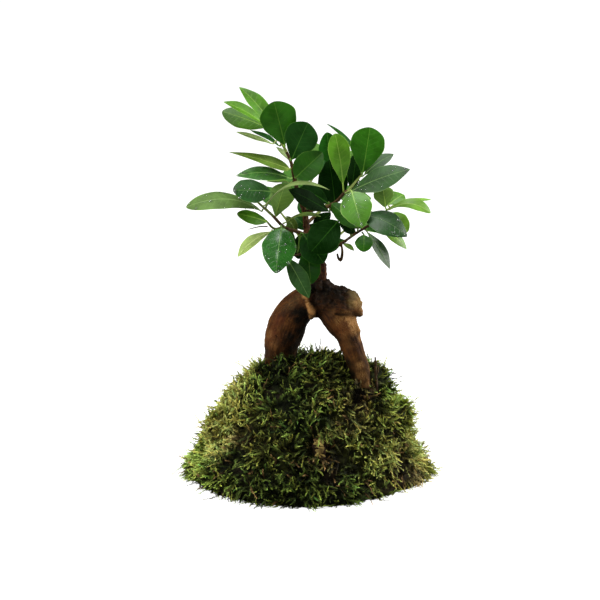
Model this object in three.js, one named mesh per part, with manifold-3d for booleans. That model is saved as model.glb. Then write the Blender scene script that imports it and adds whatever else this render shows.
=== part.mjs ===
// Grafted ginseng fig on a moss-covered soil mound (kokedama), millimetres, +Z up.
// Origin: centre of the flat underside of the mound. +X right, -Y towards the viewer.
import * as THREE from "three";
import { mergeVertices } from "three/addons/utils/BufferGeometryUtils.js";
import Module from "manifold-3d";

// ---- driving dimensions -------------------------------------------------------
const MOUND_RADIUS = 88; // half width of the moss mound at its widest
const MOUND_HEIGHT = 90; // moss surface between the two root legs
const MOSS_THICKNESS = 12; // depth of the moss layer over the soil
const GAP = 0.35; // clearance kept between pieces that touch
const LEAF_HALF_THICKNESS = 0.5; // at the midrib; the margin runs out to nothing
const PETIOLE_RADIUS = 0.65;
const ROUND_SIDES = 14; // sides of a root section
const TWIG_SIDES = 7; // sides of a stem section

// Mound outline at its widest: [height, share of MOUND_RADIUS]
const MOUND_PROFILE = [
  [0, 0.985], [6, 1.0], [14.5, 0.966], [24.6, 0.9], [33, 0.855], [40.5, 0.807],
  [50.6, 0.75], [60.7, 0.66], [67.5, 0.595], [73.7, 0.523], [82, 0.395], [87, 0.25], [89.5, 0.11],
];
// Plan outline: [degrees from +X, factor on the radius]
const MOUND_PLAN = [
  [0, 1.0], [30, 0.98], [60, 0.95], [90, 0.94], [120, 0.96], [150, 1.0], [180, 1.02], [205, 0.97],
  [225, 0.92], [250, 0.9], [270, 0.89], [290, 0.89], [310, 0.86], [330, 0.9], [345, 0.97], [360, 1.0],
];

// Outline exponents of a leaf blade: half width = sin(pi t^p)^q
const OUTLINES = {
  obo: [1.5, 0.6], ob2: [1.75, 0.56], oval: [1.12, 0.6], ell: [1.12, 0.85], ova: [0.85, 0.68],
  obl: [1.3, 0.62], bas: [0.56, 1.12], ov2: [0.82, 0.8],
};
// Stations along a blade from base to tip
const STATIONS = [0, 0.12, 0.26, 0.42, 0.58, 0.73, 0.86, 0.955];

// Colour, roughness of each leaf kind
const LEAF_LOOKS = {
  fresh: [0x6fa32e, 0.42], olive: [0x6f7d34, 0.5], mid: [0x2f6419, 0.4], dark: [0x164010, 0.4],
  greyolive: [0x7f8a58, 0.5], grey: [0x5c7b52, 0.42], light: [0x8fb04f, 0.45], lime: [0x5c8f2a, 0.42],
  darkgrey: [0x2f5434, 0.38], bright: [0x6fa64c, 0.38], greylight: [0x7f9f6c, 0.42], pale: [0x97b566, 0.48],
  vdark: [0x0c2b10, 0.38], blue: [0x103229, 0.45], gloss: [0x2f6436, 0.3], green: [0x2c6a1b, 0.42],
  yellow: [0xa5bf50, 0.46],
};

// ---- measured places ----------------------------------------------------------
// Root tubes and stem tubes: [x, y, z, radius] along each centre line.
// Leaves: name, petiole start, blade base, blade tip, upper-face normal, width, arch, fold in degrees, outline, look.
const LEAVES = [
  ["leaf_01", [-26.1, -0.49, 249.28], [-28.43, -7, 252.29], [-59.53, -15.9, 272.46], [0.5778, -0.294, 0.7614], 14, 2, 10, "ell", "lime"],
  ["leaf_02", [-24.3, 1.57, 247.08], [-23.74, 9, 247.1], [-49.44, 19, 276.19], [0.467, -0.6236, 0.6269], 14.7, 2.6, 12, "ell", "fresh"],
  ["leaf_03", [-26.73, 0.46, 249.4], [-30.22, 0.3, 251.46], [-60.87, 0.04, 262.6], [0.2625, -0.6574, 0.7063], 17.5, 1, -8, "obl", "fresh"],
  ["leaf_04", [-18.42, -1.99, 239], [-17.44, -6, 239.95], [-25.04, -13, 272.12], [0.1691, -0.9706, -0.1713], 25.9, 2, 8, "ob2", "mid"],
  ["leaf_05", [-14.02, -2.67, 229.85], [-12.96, -7.35, 230.03], [-1.62, -16.29, 258.07], [-0.2478, -0.9476, -0.2019], 23.8, 2, 8, "ob2", "dark"],
  ["leaf_06", [-22.74, -0.18, 242.58], [-26.44, -0.75, 240.27], [-51.14, 2.59, 247.69], [0.263, -0.1665, 0.9503], 9.8, 0.3, 5, "ell", "greyolive"],
  ["leaf_07", [-20.11, 0.75, 239.52], [-21.64, 4.31, 237.81], [-41.91, 18.03, 246.12], [0.3473, -0.0539, 0.9362], 12.6, 0.8, 5, "ell", "dark"],
  ["leaf_08", [35.21, 2.33, 218.22], [35.21, 2.81, 219.91], [11.26, 8.2, 252.34], [0.7784, -0.2395, 0.5804], 8.4, 5.3, 4, "obl", "dark"],
  ["leaf_09", [35.62, 1.15, 217.81], [36.22, -0.09, 218.88], [41.21, -0.34, 251.59], [-0.0086, -0.9993, -0.0358], 24.5, 2, 8, "ob2", "mid"],
  ["leaf_10", [23.03, -12.15, 208.67], [22.51, -15, 214.21], [16.85, -19, 251.01], [0.274, -0.9597, -0.0622], 15.75, 3, 10, "ob2", "lime"],
  ["leaf_11", [-13.51, -2.05, 222.99], [-14.36, -3, 222.75], [-56.02, -8, 235.79], [0.3178, -0.3106, 0.8959], 15.4, 1, 6, "bas", "olive"],
  ["leaf_12", [-10.79, -1.76, 216.57], [-10.19, -3.41, 216.67], [8.33, -18, 237.67], [-0.473, -0.8557, -0.2099], 19.6, 2, 13, "oval", "mid"],
  ["leaf_13", [18.4, 32.12, 199.56], [14.7, 30.42, 204.8], [11.73, 21.83, 243.58], [0.2304, -0.9537, -0.1935], 16.1, 2, 8, "obo", "dark"],
  ["leaf_14", [2.04, 31, 210.19], [2.04, 31, 211.94], [1.35, 40, 232.95], [0.0085, 0.9326, -0.3609], 19.6, -3, 8, "obo", "mid"],
  ["leaf_15", [35.48, 3.15, 216.87], [37.48, 11.43, 215.38], [58.14, 16.32, 229.15], [-0.3283, -0.6195, 0.7131], 11.9, 2, 5, "ell", "grey"],
  ["leaf_16", [-12.66, -1.3, 216.13], [-13.68, -2.27, 215.87], [-50.99, -11.86, 219.72], [0.198, -0.4143, 0.8883], 16.1, 4, -6, "ell", "grey"],
  ["leaf_17", [26.22, -10.14, 208.15], [27.41, -11, 208.24], [68.57, -20, 226.19], [-0.4182, -0.6525, 0.6319], 19.6, 2.6, -6, "ell", "grey"],
  ["leaf_18", [19.95, 33, 200.35], [20.37, 33, 202.07], [31.61, 38, 226.9], [0.1756, 0.9467, -0.2702], 18.9, -3, 8, "obo", "mid"],
  ["leaf_19", [-12.43, -0.48, 213.28], [-13.92, -1.18, 212.69], [-30.7, 2.93, 212.75], [-0.0222, -0.0236, 0.9995], 11.9, 0.5, 5, "ell", "light"],
  ["leaf_20", [-30.72, -11.75, 197.47], [-27.05, -18.05, 210.09], [-52.94, -29.19, 213.55], [0.3727, -0.6656, 0.6466], 18.9, 0.8, -6, "oval", "darkgrey"],
  ["leaf_21", [12.97, 24.16, 191.79], [17.43, 19.59, 192.83], [13.06, 9.65, 226.43], [0.1935, -0.9473, -0.2552], 21.7, 2, 8, "oval", "vdark"],
  ["leaf_22", [-32.58, -12.14, 198.57], [-30.16, -18.37, 201.78], [13.08, -29.14, 213.68], [-0.2779, -0.0563, 0.959], 8.4, 9.5, 4, "ell", "greyolive"],
  ["leaf_23", [-3.16, 24.23, 202.02], [-3.47, 25.66, 201.06], [-17.71, 46, 211.51], [0.2196, 0.5234, -0.8233], 18.9, -3, 8, "oval", "dark"],
  ["leaf_24", [53.05, -3.71, 194.17], [52.11, -6.8, 196.32], [49.82, -11, 212.27], [-0.1271, 0.9635, 0.2355], 14.7, -1.5, 12, "obo", "olive"],
  ["leaf_25", [13.42, -8.2, 196.27], [13.31, -9.89, 194.19], [-15.11, -28.54, 213.89], [0.6821, -0.6044, 0.4116], 14, 1.2, -6, "ell", "vdark"],
  ["leaf_26", [12.94, -5.09, 197.7], [13.01, -3.73, 198.11], [-7.1, 0.45, 209.25], [0.1655, -0.7868, 0.5946], 11.9, 1.5, 6, "ell", "vdark"],
  ["leaf_27", [-23.61, -9.03, 188.78], [-24.07, -7.6, 189.4], [-17.13, -4, 212.71], [0.2119, 0.9543, -0.2105], 18.2, -2, 10, "ob2", "lime"],
  ["leaf_28", [23.98, -12.62, 207.8], [28.52, -19, 210.3], [35.35, -34, 188.47], [-0.1134, -0.8351, 0.5382], 22.4, 3, -10, "ova", "bright"],
  ["leaf_29", [54.88, -1.44, 195.59], [54.44, -0.15, 196.69], [65.38, 9.01, 202.01], [0.0779, -0.5744, 0.8149], 12.6, 1, 8, "ell", "olive"],
  ["leaf_30", [-32.76, -11.89, 196.27], [-33.69, -13, 195.04], [-85.12, -28, 201.28], [0.2244, -0.3992, 0.889], 19.6, 9, -6, "obo", "greylight"],
  ["leaf_31", [56.56, -1.08, 195.62], [60.46, 5.99, 195.91], [84.17, 7.42, 198.59], [-0.1109, -0.0193, 0.9936], 11.9, 0.8, 5, "ell", "light"],
  ["leaf_32", [54.52, -3.62, 194.37], [54.93, -5.52, 194.61], [83.12, -11.18, 193.42], [-0.0315, -0.3526, 0.9352], 14, 6.2, 5, "obo", "light"],
  ["leaf_33", [-20.49, 30.99, 184.1], [-21.27, 31.84, 185.42], [-34.02, 46, 199.93], [-0.1184, 0.668, -0.7347], 14.7, -3, 8, "ell", "dark"],
  ["leaf_34", [33.64, -8.6, 181.35], [32.55, -8.51, 182.72], [14.56, -20.99, 202.02], [0.6223, -0.7759, 0.104], 12.6, 1.2, -6, "oval", "mid"],
  ["leaf_35", [16.52, 31.55, 195.9], [16.16, 33.2, 195.53], [43.53, 58, 188.53], [-0.59, 0.4646, -0.6603], 18.2, -3, 8, "ell", "dark"],
  ["leaf_36", [-29.75, -11.11, 186.98], [-30.06, -12.69, 187.66], [-50.48, -20, 194.88], [0.4676, -0.557, 0.6863], 11.9, 0.8, -5, "oval", "fresh"],
  ["leaf_37", [-3.65, 5.95, 194.75], [3.38, 12, 193.84], [-9.07, 28, 188.33], [-0.8055, -0.5623, 0.1872], 10.5, 1.5, 6, "oval", "dark"],
  ["leaf_38", [-18.93, -9.99, 185.66], [-17.4, -10.31, 186.44], [7.37, -19, 192.53], [-0.2544, -0.0074, 0.9671], 9.8, 3.6, 4, "ell", "olive"],
  ["leaf_39", [32.83, -10, 180.25], [34.87, -22, 194.49], [66.22, -34.01, 182.07], [0.0977, -0.5808, 0.8081], 22.4, 5, -6, "ell", "darkgrey"],
  ["leaf_40", [52.95, -3.85, 192.05], [53.92, -5, 191.29], [67.59, -10, 179.79], [0.0835, -0.8738, 0.4791], 14, 2, 8, "oval", "light"],
  ["leaf_41", [19.85, -12.06, 187.95], [19.15, -14, 188.4], [0.47, -27, 169.51], [0.1799, -0.8843, 0.4308], 23.1, 3, -8, "oval", "vdark"],
  ["leaf_42", [38.05, -6.1, 181.74], [37.4, -2, 180.26], [58.25, 8, 172.54], [0.4105, -0.1627, 0.8972], 11.9, 1, 5, "ell", "dark"],
  ["leaf_43", [27.48, 30.01, 174.22], [28.46, 30.87, 175.38], [53.3, 46, 173.75], [-0.3814, 0.5954, -0.7071], 18.2, -3, 8, "ell", "mid"],
  ["leaf_44", [45.23, -4.25, 185.1], [47.1, -3, 181.21], [67.21, -8, 166.62], [0.3877, -0.5652, 0.7282], 9.8, 3, -6, "ell", "light"],
  ["leaf_45", [35.83, -9.05, 179.43], [37.25, -10, 177.51], [36.88, -24, 168.79], [-0.0065, -0.5289, 0.8487], 12.6, 1.5, -6, "oval", "mid"],
  ["leaf_46", [-26.33, -10.71, 181.49], [-27.24, -11.6, 180.28], [-50.35, -17, 163.53], [-0.4222, -0.5149, 0.7461], 11.9, 3.2, 6, "ell", "yellow"],
  ["leaf_47", [-20.23, -11.27, 184.68], [-19.88, -16, 183.9], [-23.74, -33, 155.76], [-0.0257, -0.8541, 0.5194], 24.5, 4, -14, "ova", "gloss"],
  ["leaf_48", [-8.91, -9.07, 164.42], [-5.02, -9, 177.99], [9.16, -18, 159.5], [-0.0189, -0.9046, 0.4259], 19.6, 2, 6, "oval", "dark"],
  ["leaf_49", [38.47, -8.26, 180.91], [39.34, -9, 179.77], [55.3, -15, 154.48], [0.6423, -0.5485, 0.5354], 12.6, 1.2, 6, "ell", "grey"],
  ["leaf_50", [24, -7, 172.51], [24.22, -1.4, 171.9], [8.95, 2, 162.13], [-0.5213, -0.6018, 0.605], 11.9, 1.5, 6, "ell", "dark"],
  ["leaf_51", [-14.82, 22.68, 176.95], [-16.4, 21.94, 176.99], [-19.18, 40, 149.62], [-0.1106, 0.8345, 0.5399], 15.4, -3, 8, "oval", "dark"],
  ["leaf_52", [20.2, 25.2, 169.06], [19.23, 26.31, 168.12], [9.34, 55, 155.52], [0.9482, 0.2966, -0.1139], 17.5, -3, 8, "oval", "dark"],
  ["leaf_53", [-1.83, -4.63, 164.93], [-1.93, -5.7, 166.31], [0.54, -15, 143.75], [0.0138, -0.9122, 0.4095], 15.75, 2, 6, "oval", "green"],
  ["leaf_54", [-13.11, -11.48, 163.08], [-16.81, -13, 162.91], [-0.87, -23, 135.56], [0.1996, -0.877, 0.437], 13.65, 1.2, 12, "ell", "grey"],
];
const YOUNG_SHOOTS = [
  [[22.09, -8.12, 171.27], [22.4, -8, 171.19], [30.32, -13, 166.98], [0.1641, -0.4711, 0.8667], 4.9, 0.8, 5, "ell"],
  [[31.9, -9.16, 178.65], [31.75, -7.5, 178.49], [20.08, -12, 186.66], [0.5643, -0.7155, 0.4118], 9.8, 0.8, 5, "ell"],
  [[30.2, -2.91, 212.24], [28.68, 3, 206.56], [31.89, 14, 230.13], [0.1826, -0.9003, 0.3952], 10.5, 1.5, 6, "oval"],
  [[4.63, -1.73, 194.43], [7.52, 6, 198.05], [-5.01, 10, 210], [0.1909, -0.8529, 0.4859], 10.5, 1.5, 6, "ell"],
  [[8.18, -3.89, 195.33], [11.68, 3, 197.3], [22.18, 6, 188.77], [0.4624, -0.8438, 0.2723], 8.4, 1, 6, "ell"],
  [[36.62, -8.01, 181.33], [35.27, -4, 180.73], [22.07, -3, 184.78], [0.146, -0.738, 0.6588], 6.3, 1, 6, "ell"],
  [[32.8, -0.19, 214.7], [40.67, -4, 210.23], [57.83, -8, 213.94], [-0.3028, -0.7153, 0.6297], 7.7, 1.2, 6, "ell"],
  [[-2.67, 7.1, 170.77], [-0.81, 8, 176.12], [-11.3, 13, 185.72], [0.1228, -0.8189, 0.5607], 11.9, 1.5, 6, "ell"],
  [[-3.17, 8.12, 170.85], [-4.3, 8, 168.22], [6.9, 14, 179.75], [-0.1414, -0.815, 0.5619], 11.9, 1.5, 6, "ell"],
  [[-4.03, -1.07, 175.76], [-9.19, 4, 174.92], [-16.51, 5, 187.57], [0.3587, -0.8911, 0.2779], 7.7, 1, 6, "ell"],
  [[-3.68, 9.14, 170.93], [-8.5, 7, 172.77], [-7.8, 6, 156.48], [0.1814, -0.9811, 0.068], 9.8, 1.5, 6, "oval"],
  [[-3.17, 8.12, 170.85], [1.29, 10, 174.94], [14.57, 12, 188.46], [-0.2866, -0.8662, 0.4093], 10.5, 1.5, 6, "ell"],
  [[-10.48, 0.5, 212.39], [-7.79, 5, 213.93], [10.27, 9, 226.21], [-0.1535, -0.8506, 0.503], 11.9, 1.5, 6, "ell"],
  [[-13.22, -1.04, 226.66], [-13.34, 2, 226.63], [-23.72, 4, 236.82], [0.5842, -0.4398, 0.6821], 6.3, 0.8, 6, "ell"],
  [[-0.94, 1.46, 172.01], [-5.01, -0.5, 170.61], [-7.8, -2, 177.05], [0.4736, -0.8807, -0.0003], 4.2, 0.5, 5, "ell"],
];
const STEM = {
  main: [[5.14, 0.00, 137.79, 5.00], [7.78, 0.00, 143.56, 3.40], [8.61, 0.00, 151.48, 2.80], [6.86, 0.50, 158.54, 2.60], [2.66, 1.00, 165.60, 2.50], [-1.18, 1.50, 172.64, 2.40], [-2.57, 2.00, 181.11, 2.20], [-3.62, 2.00, 189.68, 2.00], [-6.41, 2.00, 199.66, 1.80], [-9.53, 1.00, 209.13, 1.50], [-11.26, 0.00, 215.73, 1.35], [-12.98, -1.00, 225.86, 1.20], [-16.78, -1.00, 235.04, 1.05], [-21.61, 0.00, 243.29, 0.90], [-25.75, 0.50, 248.82, 0.70]],
  left: [[-1.53, 1.00, 174.19, 1.50], [-9.18, -5.00, 178.83, 1.35], [-18.19, -9.00, 182.97, 1.20], [-26.46, -11.00, 191.96, 1.05], [-33.02, -11.00, 197.99, 0.90], [-37.16, -10.00, 201.65, 0.70]],
  left2: [[-18.19, -9.00, 182.97, 1.00], [-25.11, -10.00, 182.14, 0.90], [-30.98, -10.00, 188.18, 0.70]],
  right: [[6.51, 0.50, 159.26, 1.50], [9.96, -3.00, 162.62, 1.25], [14.45, -6.00, 166.00, 1.10], [21.50, -8.00, 170.84, 1.00], [28.54, -9.00, 176.21, 1.00], [33.10, -9.00, 179.41, 1.00], [39.36, -7.00, 182.86, 0.95], [46.34, -4.00, 187.50, 0.90], [52.23, -3.00, 192.61, 0.80], [56.06, -2.00, 195.59, 0.60]],
  right2: [[28.96, -9.00, 176.56, 0.90], [24.76, -10.00, 183.56, 0.90], [20.23, -11.00, 187.70, 0.70]],
  upper: [[-3.48, 2.00, 189.68, 1.60], [3.32, -1.00, 193.93, 1.50], [11.60, -6.00, 196.49, 1.30], [18.47, -10.00, 201.65, 1.20], [22.23, -12.00, 206.70, 1.05], [26.07, -8.00, 208.64, 1.00], [31.00, -2.00, 212.98, 0.90], [35.21, 2.00, 217.07, 0.75]],
  low: [[3.71, 1.00, 163.80, 1.40], [-2.23, -4.00, 163.58, 1.20], [-7.79, -8.00, 163.12, 1.00], [-11.96, -11.00, 163.14, 0.80]],
  stub: [[21.50, -8.00, 170.69, 0.70], [22.27, -9.00, 165.86, 0.95], [21.93, -9.00, 161.58, 1.10], [21.05, -8.50, 158.88, 1.00], [19.52, -8.00, 160.62, 0.90], [18.74, -8.00, 163.84, 0.70]],
  g1: [[-4.67, 2.00, 193.96, 1.40], [-5.70, 13.00, 197.90, 1.25], [-2.89, 23.00, 202.84, 1.05], [2.04, 31.00, 208.99, 0.75]],
  g2: [[-2.71, 2.00, 182.54, 1.40], [4.10, 15.00, 185.98, 1.25], [12.58, 26.00, 192.10, 1.05], [19.67, 33.00, 199.19, 0.75]],
  g3: [[-0.13, 2.00, 170.38, 1.30], [-6.40, 14.00, 171.83, 1.15], [-14.13, 24.00, 177.42, 0.95], [-20.50, 31.00, 183.75, 0.70]],
  g4: [[4.76, 1.50, 161.89, 1.20], [11.83, 13.00, 164.15, 1.10], [19.65, 23.00, 168.98, 0.95], [27.48, 30.00, 173.85, 0.70]],
};
const ROOT = {
  left_leg: [[-24.10, 10.00, 61.42, 8.05], [-22.66, 9.50, 73.34, 9.52], [-21.01, 8.50, 83.90, 11.06], [-20.14, 7.00, 93.83, 12.18], [-17.30, 5.50, 105.18, 13.51], [-12.72, 3.50, 116.26, 12.88], [-5.70, 1.00, 125.61, 10.85], [4.09, -1.00, 128.66, 9.45], [11.08, -2.00, 128.19, 8.40]],
  right_leg: [[38.58, -13.00, 43.93, 4.55], [39.54, -14.50, 54.63, 5.32], [38.86, -15.00, 62.81, 5.74], [36.85, -15.00, 71.55, 6.16], [34.18, -13.20, 82.68, 7.00], [29.96, -11.00, 95.13, 7.84], [26.18, -9.00, 105.46, 8.54], [20.86, -6.50, 114.92, 10.64], [14.58, -3.50, 122.80, 10.50], [8.29, -2.00, 127.47, 9.10]],
  crotch: [[-3.60, 0.00, 126.23, 7.70], [1.30, -0.50, 124.55, 8.05], [5.50, -1.00, 123.60, 7.70], [9.70, -2.00, 123.13, 7.00]],
  head: [[1.29, -2.00, 128.19, 5.60], [5.49, -2.00, 128.56, 9.45], [12.47, -3.00, 128.45, 11.41], [20.85, -4.00, 127.27, 11.55], [27.14, -5.00, 125.36, 10.71], [31.69, -5.00, 122.84, 7.70], [34.14, -5.00, 121.03, 3.50]],
};
const CHIP_PLACE = [6.52, -61.29, 37.49];
const CHIP_FACING = [0.1369, -0.9084, 0.3950];
const STALK = [[46.54, -13.10, 61.52, 0.95], [46.54, -13.60, 68.52, 0.90], [45.94, -13.40, 79.52, 0.80], [45.64, -12.60, 90.52, 0.55]];

// ---- solids -------------------------------------------------------------------
const wasm = await Module();
wasm.setup();

const vec = (a) => new THREE.Vector3(a[0], a[1], a[2]);

// A closed mesh from points and triangles, turned so that its faces point out.
function closedGeometry(points, faces) {
  let volume = 0;
  for (const [a, b, c] of faces)
    volume += points[a].dot(new THREE.Vector3().crossVectors(points[b], points[c]));
  const index = faces.flatMap(([a, b, c]) => (volume < 0 ? [a, c, b] : [a, b, c]));
  const geometry = new THREE.BufferGeometry();
  geometry.setAttribute(
    "position",
    new THREE.BufferAttribute(new Float32Array(points.flatMap((p) => [p.x, p.y, p.z])), 3),
  );
  geometry.setIndex(index);
  return geometry;
}

// Rings of equal length joined into a closed skin, with a flat cap or a point at each end.
function loft(rings, tip = null) {
  const sides = rings[0].length;
  const points = rings.flat();
  const faces = [];
  for (let i = 0; i + 1 < rings.length; i++)
    for (let k = 0; k < sides; k++) {
      const a = i * sides + k, b = i * sides + ((k + 1) % sides);
      faces.push([a, b, b + sides], [a, b + sides, a + sides]);
    }
  for (let k = 1; k + 1 < sides; k++) faces.push([0, k + 1, k]);
  const last = (rings.length - 1) * sides;
  if (tip) {
    points.push(tip);
    for (let k = 0; k < sides; k++) faces.push([last + k, last + ((k + 1) % sides), points.length - 1]);
  } else {
    for (let k = 1; k + 1 < sides; k++) faces.push([last, last + k, last + k + 1]);
  }
  return closedGeometry(points, faces);
}

// A round tube of changing radius through [x, y, z, radius] points.
function taperedTube(stations, sides, steps, grow = 0) {
  const curve = new THREE.CatmullRomCurve3(stations.map(vec), false, "catmullrom", 0.5);
  const count = (stations.length - 1) * steps;
  const up = new THREE.Vector3(0.3, 0.9, 0.2);
  const rings = [];
  for (let i = 0; i <= count; i++) {
    const centre = curve.getPoint(i / count);
    const along = curve.getPoint(Math.min(1, (i + 0.5) / count))
      .sub(curve.getPoint(Math.max(0, (i - 0.5) / count))).normalize();
    const s = Math.min(stations.length - 2, Math.floor(i / steps));
    const f = i / steps - s;
    const radius = stations[s][3] * (1 - f) + stations[s + 1][3] * f + grow;
    const a = new THREE.Vector3().crossVectors(along, up).normalize();
    const b = new THREE.Vector3().crossVectors(along, a);
    rings.push(Array.from({ length: sides }, (_, k) => {
      const angle = (2 * Math.PI * k) / sides;
      return centre.clone().addScaledVector(a, radius * Math.cos(angle)).addScaledVector(b, radius * Math.sin(angle));
    }));
  }
  return loft(rings);
}

function toSolid(geometry) {
  const g = geometry.clone();
  g.deleteAttribute("normal");
  g.deleteAttribute("uv");
  const merged = mergeVertices(g, 1e-4);
  return new wasm.Manifold(new wasm.Mesh({
    numProp: 3,
    vertProperties: new Float32Array(merged.attributes.position.array),
    triVerts: new Uint32Array(merged.index.array),
  }));
}

function toGeometry(solid) {
  const mesh = solid.getMesh();
  const geometry = new THREE.BufferGeometry();
  geometry.setAttribute("position", new THREE.BufferAttribute(new Float32Array(mesh.vertProperties), 3));
  geometry.setIndex(Array.from(mesh.triVerts));
  return geometry;
}

const lerpTable = (table, x) => {
  if (x <= table[0][0]) return table[0][1];
  for (let i = 0; i + 1 < table.length; i++)
    if (x <= table[i + 1][0]) {
      const f = (x - table[i][0]) / (table[i + 1][0] - table[i][0]);
      return table[i][1] * (1 - f) + table[i + 1][1] * f;
    }
  return table[table.length - 1][1];
};

// Radius of the moss surface at an angle and height, with low swellings of the moss.
function moundRadius(angle, z) {
  const degrees = ((angle * 180) / Math.PI + 360) % 360;
  const swell = 1.3 * Math.sin(3 * angle + z / 16 + 0.6) + 0.9 * Math.sin(5 * angle - z / 11 + 2.1);
  const fade = Math.min(1, z / 12) * Math.min(1, (MOUND_HEIGHT - z) / 22);
  return MOUND_RADIUS * lerpTable(MOUND_PROFILE, z) * lerpTable(MOUND_PLAN, degrees) + swell * fade;
}

// The mound, moved inwards by an inset, flat at z = 0.
function moundSolid(inset, sides, below = 0) {
  const rings = [];
  const scale = (MOUND_HEIGHT - inset) / MOUND_HEIGHT;
  const heights = MOUND_PROFILE.map(([z]) => z);
  if (below) heights.unshift(-below);
  for (const z of heights)
    rings.push(Array.from({ length: sides }, (_, k) => {
      const angle = (2 * Math.PI * k) / sides;
      const r = inset > 0 ? Math.max(2, moundRadius(angle, z) - inset) : moundRadius(angle, z);
      return new THREE.Vector3(r * Math.cos(angle), r * Math.sin(angle), z * scale);
    }));
  return toSolid(loft(rings, new THREE.Vector3(0, 0, MOUND_HEIGHT * scale)));
}

const rootSolid = (grow) =>
  Object.values(ROOT)
    .map((stations) => toSolid(taperedTube(stations, ROUND_SIDES, 1, grow)))
    .reduce((a, b) => a.add(b));

// A leaf: a round petiole that opens into a thin blade, folded along its midrib and arched along its length.
function leafGeometry(start, base, tip, normal, width, arch, fold, outline) {
  const S = vec(start), B = vec(base), T = vec(tip), N = vec(normal).normalize();
  const [p, q] = OUTLINES[outline];
  const chord = T.clone().sub(B);
  const along = (t) => chord.clone().addScaledVector(N, arch * 4 * (1 - 2 * t)).normalize();
  const centre = (t) => B.clone().addScaledVector(chord, t).addScaledVector(N, arch * 4 * t * (1 - t));
  const reach = B.distanceTo(S);
  const petiole = new THREE.CubicBezierCurve3(
    S, S.clone().lerp(B, 0.35), B.clone().addScaledVector(along(0), -0.38 * reach), B,
  );
  const rings = [];
  const ring = (c, dir, halfWidth, halfThickness, lift) => {
    const side = new THREE.Vector3().crossVectors(N, dir).normalize();
    const up = new THREE.Vector3().crossVectors(dir, side);
    rings.push([
      c.clone().addScaledVector(side, -halfWidth).addScaledVector(up, lift),
      c.clone().addScaledVector(up, halfThickness),
      c.clone().addScaledVector(side, halfWidth).addScaledVector(up, lift),
      c.clone().addScaledVector(up, -halfThickness),
    ]);
  };
  for (const u of [0, 0.4, 0.75]) ring(petiole.getPoint(u), petiole.getTangent(u), PETIOLE_RADIUS, PETIOLE_RADIUS, 0);
  for (const t of STATIONS) {
    const half = Math.max((width / 2) * Math.sin(Math.PI * t ** p) ** q, PETIOLE_RADIUS);
    const angle = THREE.MathUtils.degToRad(fold) * Math.min(1, 5 * t);
    const thick = t === 0 ? PETIOLE_RADIUS : t > 0.8 ? 0.8 * LEAF_HALF_THICKNESS : LEAF_HALF_THICKNESS;
    ring(centre(t), along(t), half * Math.cos(angle), thick,
      Math.sin(THREE.MathUtils.degToRad(fold)) * half * Math.min(1, 5 * t));
  }
  return loft(rings, centre(1));
}

// ---- the plant ------------------------------------------------------------------
const plant = new THREE.Group();
function place(name, geometry, color, roughness) {
  const mesh = new THREE.Mesh(geometry, new THREE.MeshStandardMaterial({ color, roughness, metalness: 0 }));
  mesh.name = name;
  plant.add(mesh);
}

const rootBody = rootSolid(0);
const rootRoom = rootSolid(GAP);
place("root_caudex", toGeometry(rootBody), 0x5a3a22, 0.75);

// Grafted stem with its branches, twigs, young shoots and one short aerial root, grown as one.
let stemBody = Object.values(STEM)
  .map((stations) => toSolid(taperedTube(stations, TWIG_SIDES, 2)))
  .reduce((a, b) => a.add(b));
for (const [start, base, tip, normal, width, arch, fold, outline] of YOUNG_SHOOTS)
  stemBody = stemBody.add(toSolid(leafGeometry(start, base, tip, normal, width, arch, fold, outline)));
place("stem", toGeometry(stemBody.subtract(rootRoom)), 0x6b4630, 0.8);

// A dead stalk that stands in the moss beside the right leg.
const stalkBody = toSolid(taperedTube(STALK, 6, 1));
place("dry_stalk", toGeometry(stalkBody), 0x3a2a1c, 0.9);
const stalkRoom = toSolid(taperedTube(STALK, 6, 1, GAP));

// A bit of brown bark pressed on the front of the moss.
const chip = new THREE.Shape();
chip.moveTo(-7.6, -5.2);
chip.lineTo(-3.1, -8.4);
chip.lineTo(4.2, -7.6);
chip.lineTo(7.7, -2.4);
chip.lineTo(6.3, 4.6);
chip.lineTo(2.2, 8.7);
chip.lineTo(-3.9, 7.4);
chip.lineTo(-7.2, 1.9);
chip.closePath();
const chipGeometry = new THREE.ExtrudeGeometry(chip, { depth: 3.2, bevelEnabled: false, steps: 1 });
const chipFrame = new THREE.Object3D();
chipFrame.position.set(...CHIP_PLACE);
chipFrame.lookAt(chipFrame.position.clone().add(vec(CHIP_FACING)));
chipFrame.updateMatrixWorld(true);
chipGeometry.applyMatrix4(chipFrame.matrixWorld);
const chipRoomShape = new THREE.ExtrudeGeometry(chip, { depth: 3.2 + 2 * GAP, bevelEnabled: false });
chipRoomShape.scale(1.05, 1.05, 1).translate(0, 0, -GAP);
chipRoomShape.applyMatrix4(chipFrame.matrixWorld);
place("bark_chip", chipGeometry, 0x7a5a38, 0.85);

// Soil ball inside the moss, and the moss layer over it with room for both legs.
place("soil_ball",
  toGeometry(moundSolid(MOSS_THICKNESS + GAP, 30).subtract(rootRoom)), 0x2b2118, 0.95);
const inner = moundSolid(MOSS_THICKNESS, 30, 2);
place("moss_cover", toGeometry(moundSolid(0, 48).subtract(inner).subtract(rootRoom).subtract(stalkRoom)
  .subtract(toSolid(chipRoomShape))), 0x4f5a24, 0.95);

for (const [name, start, base, tip, normal, width, arch, fold, outline, look] of LEAVES)
  place(name, leafGeometry(start, base, tip, normal, width, arch, fold, outline), ...LEAF_LOOKS[look]);

export default plant;
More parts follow.
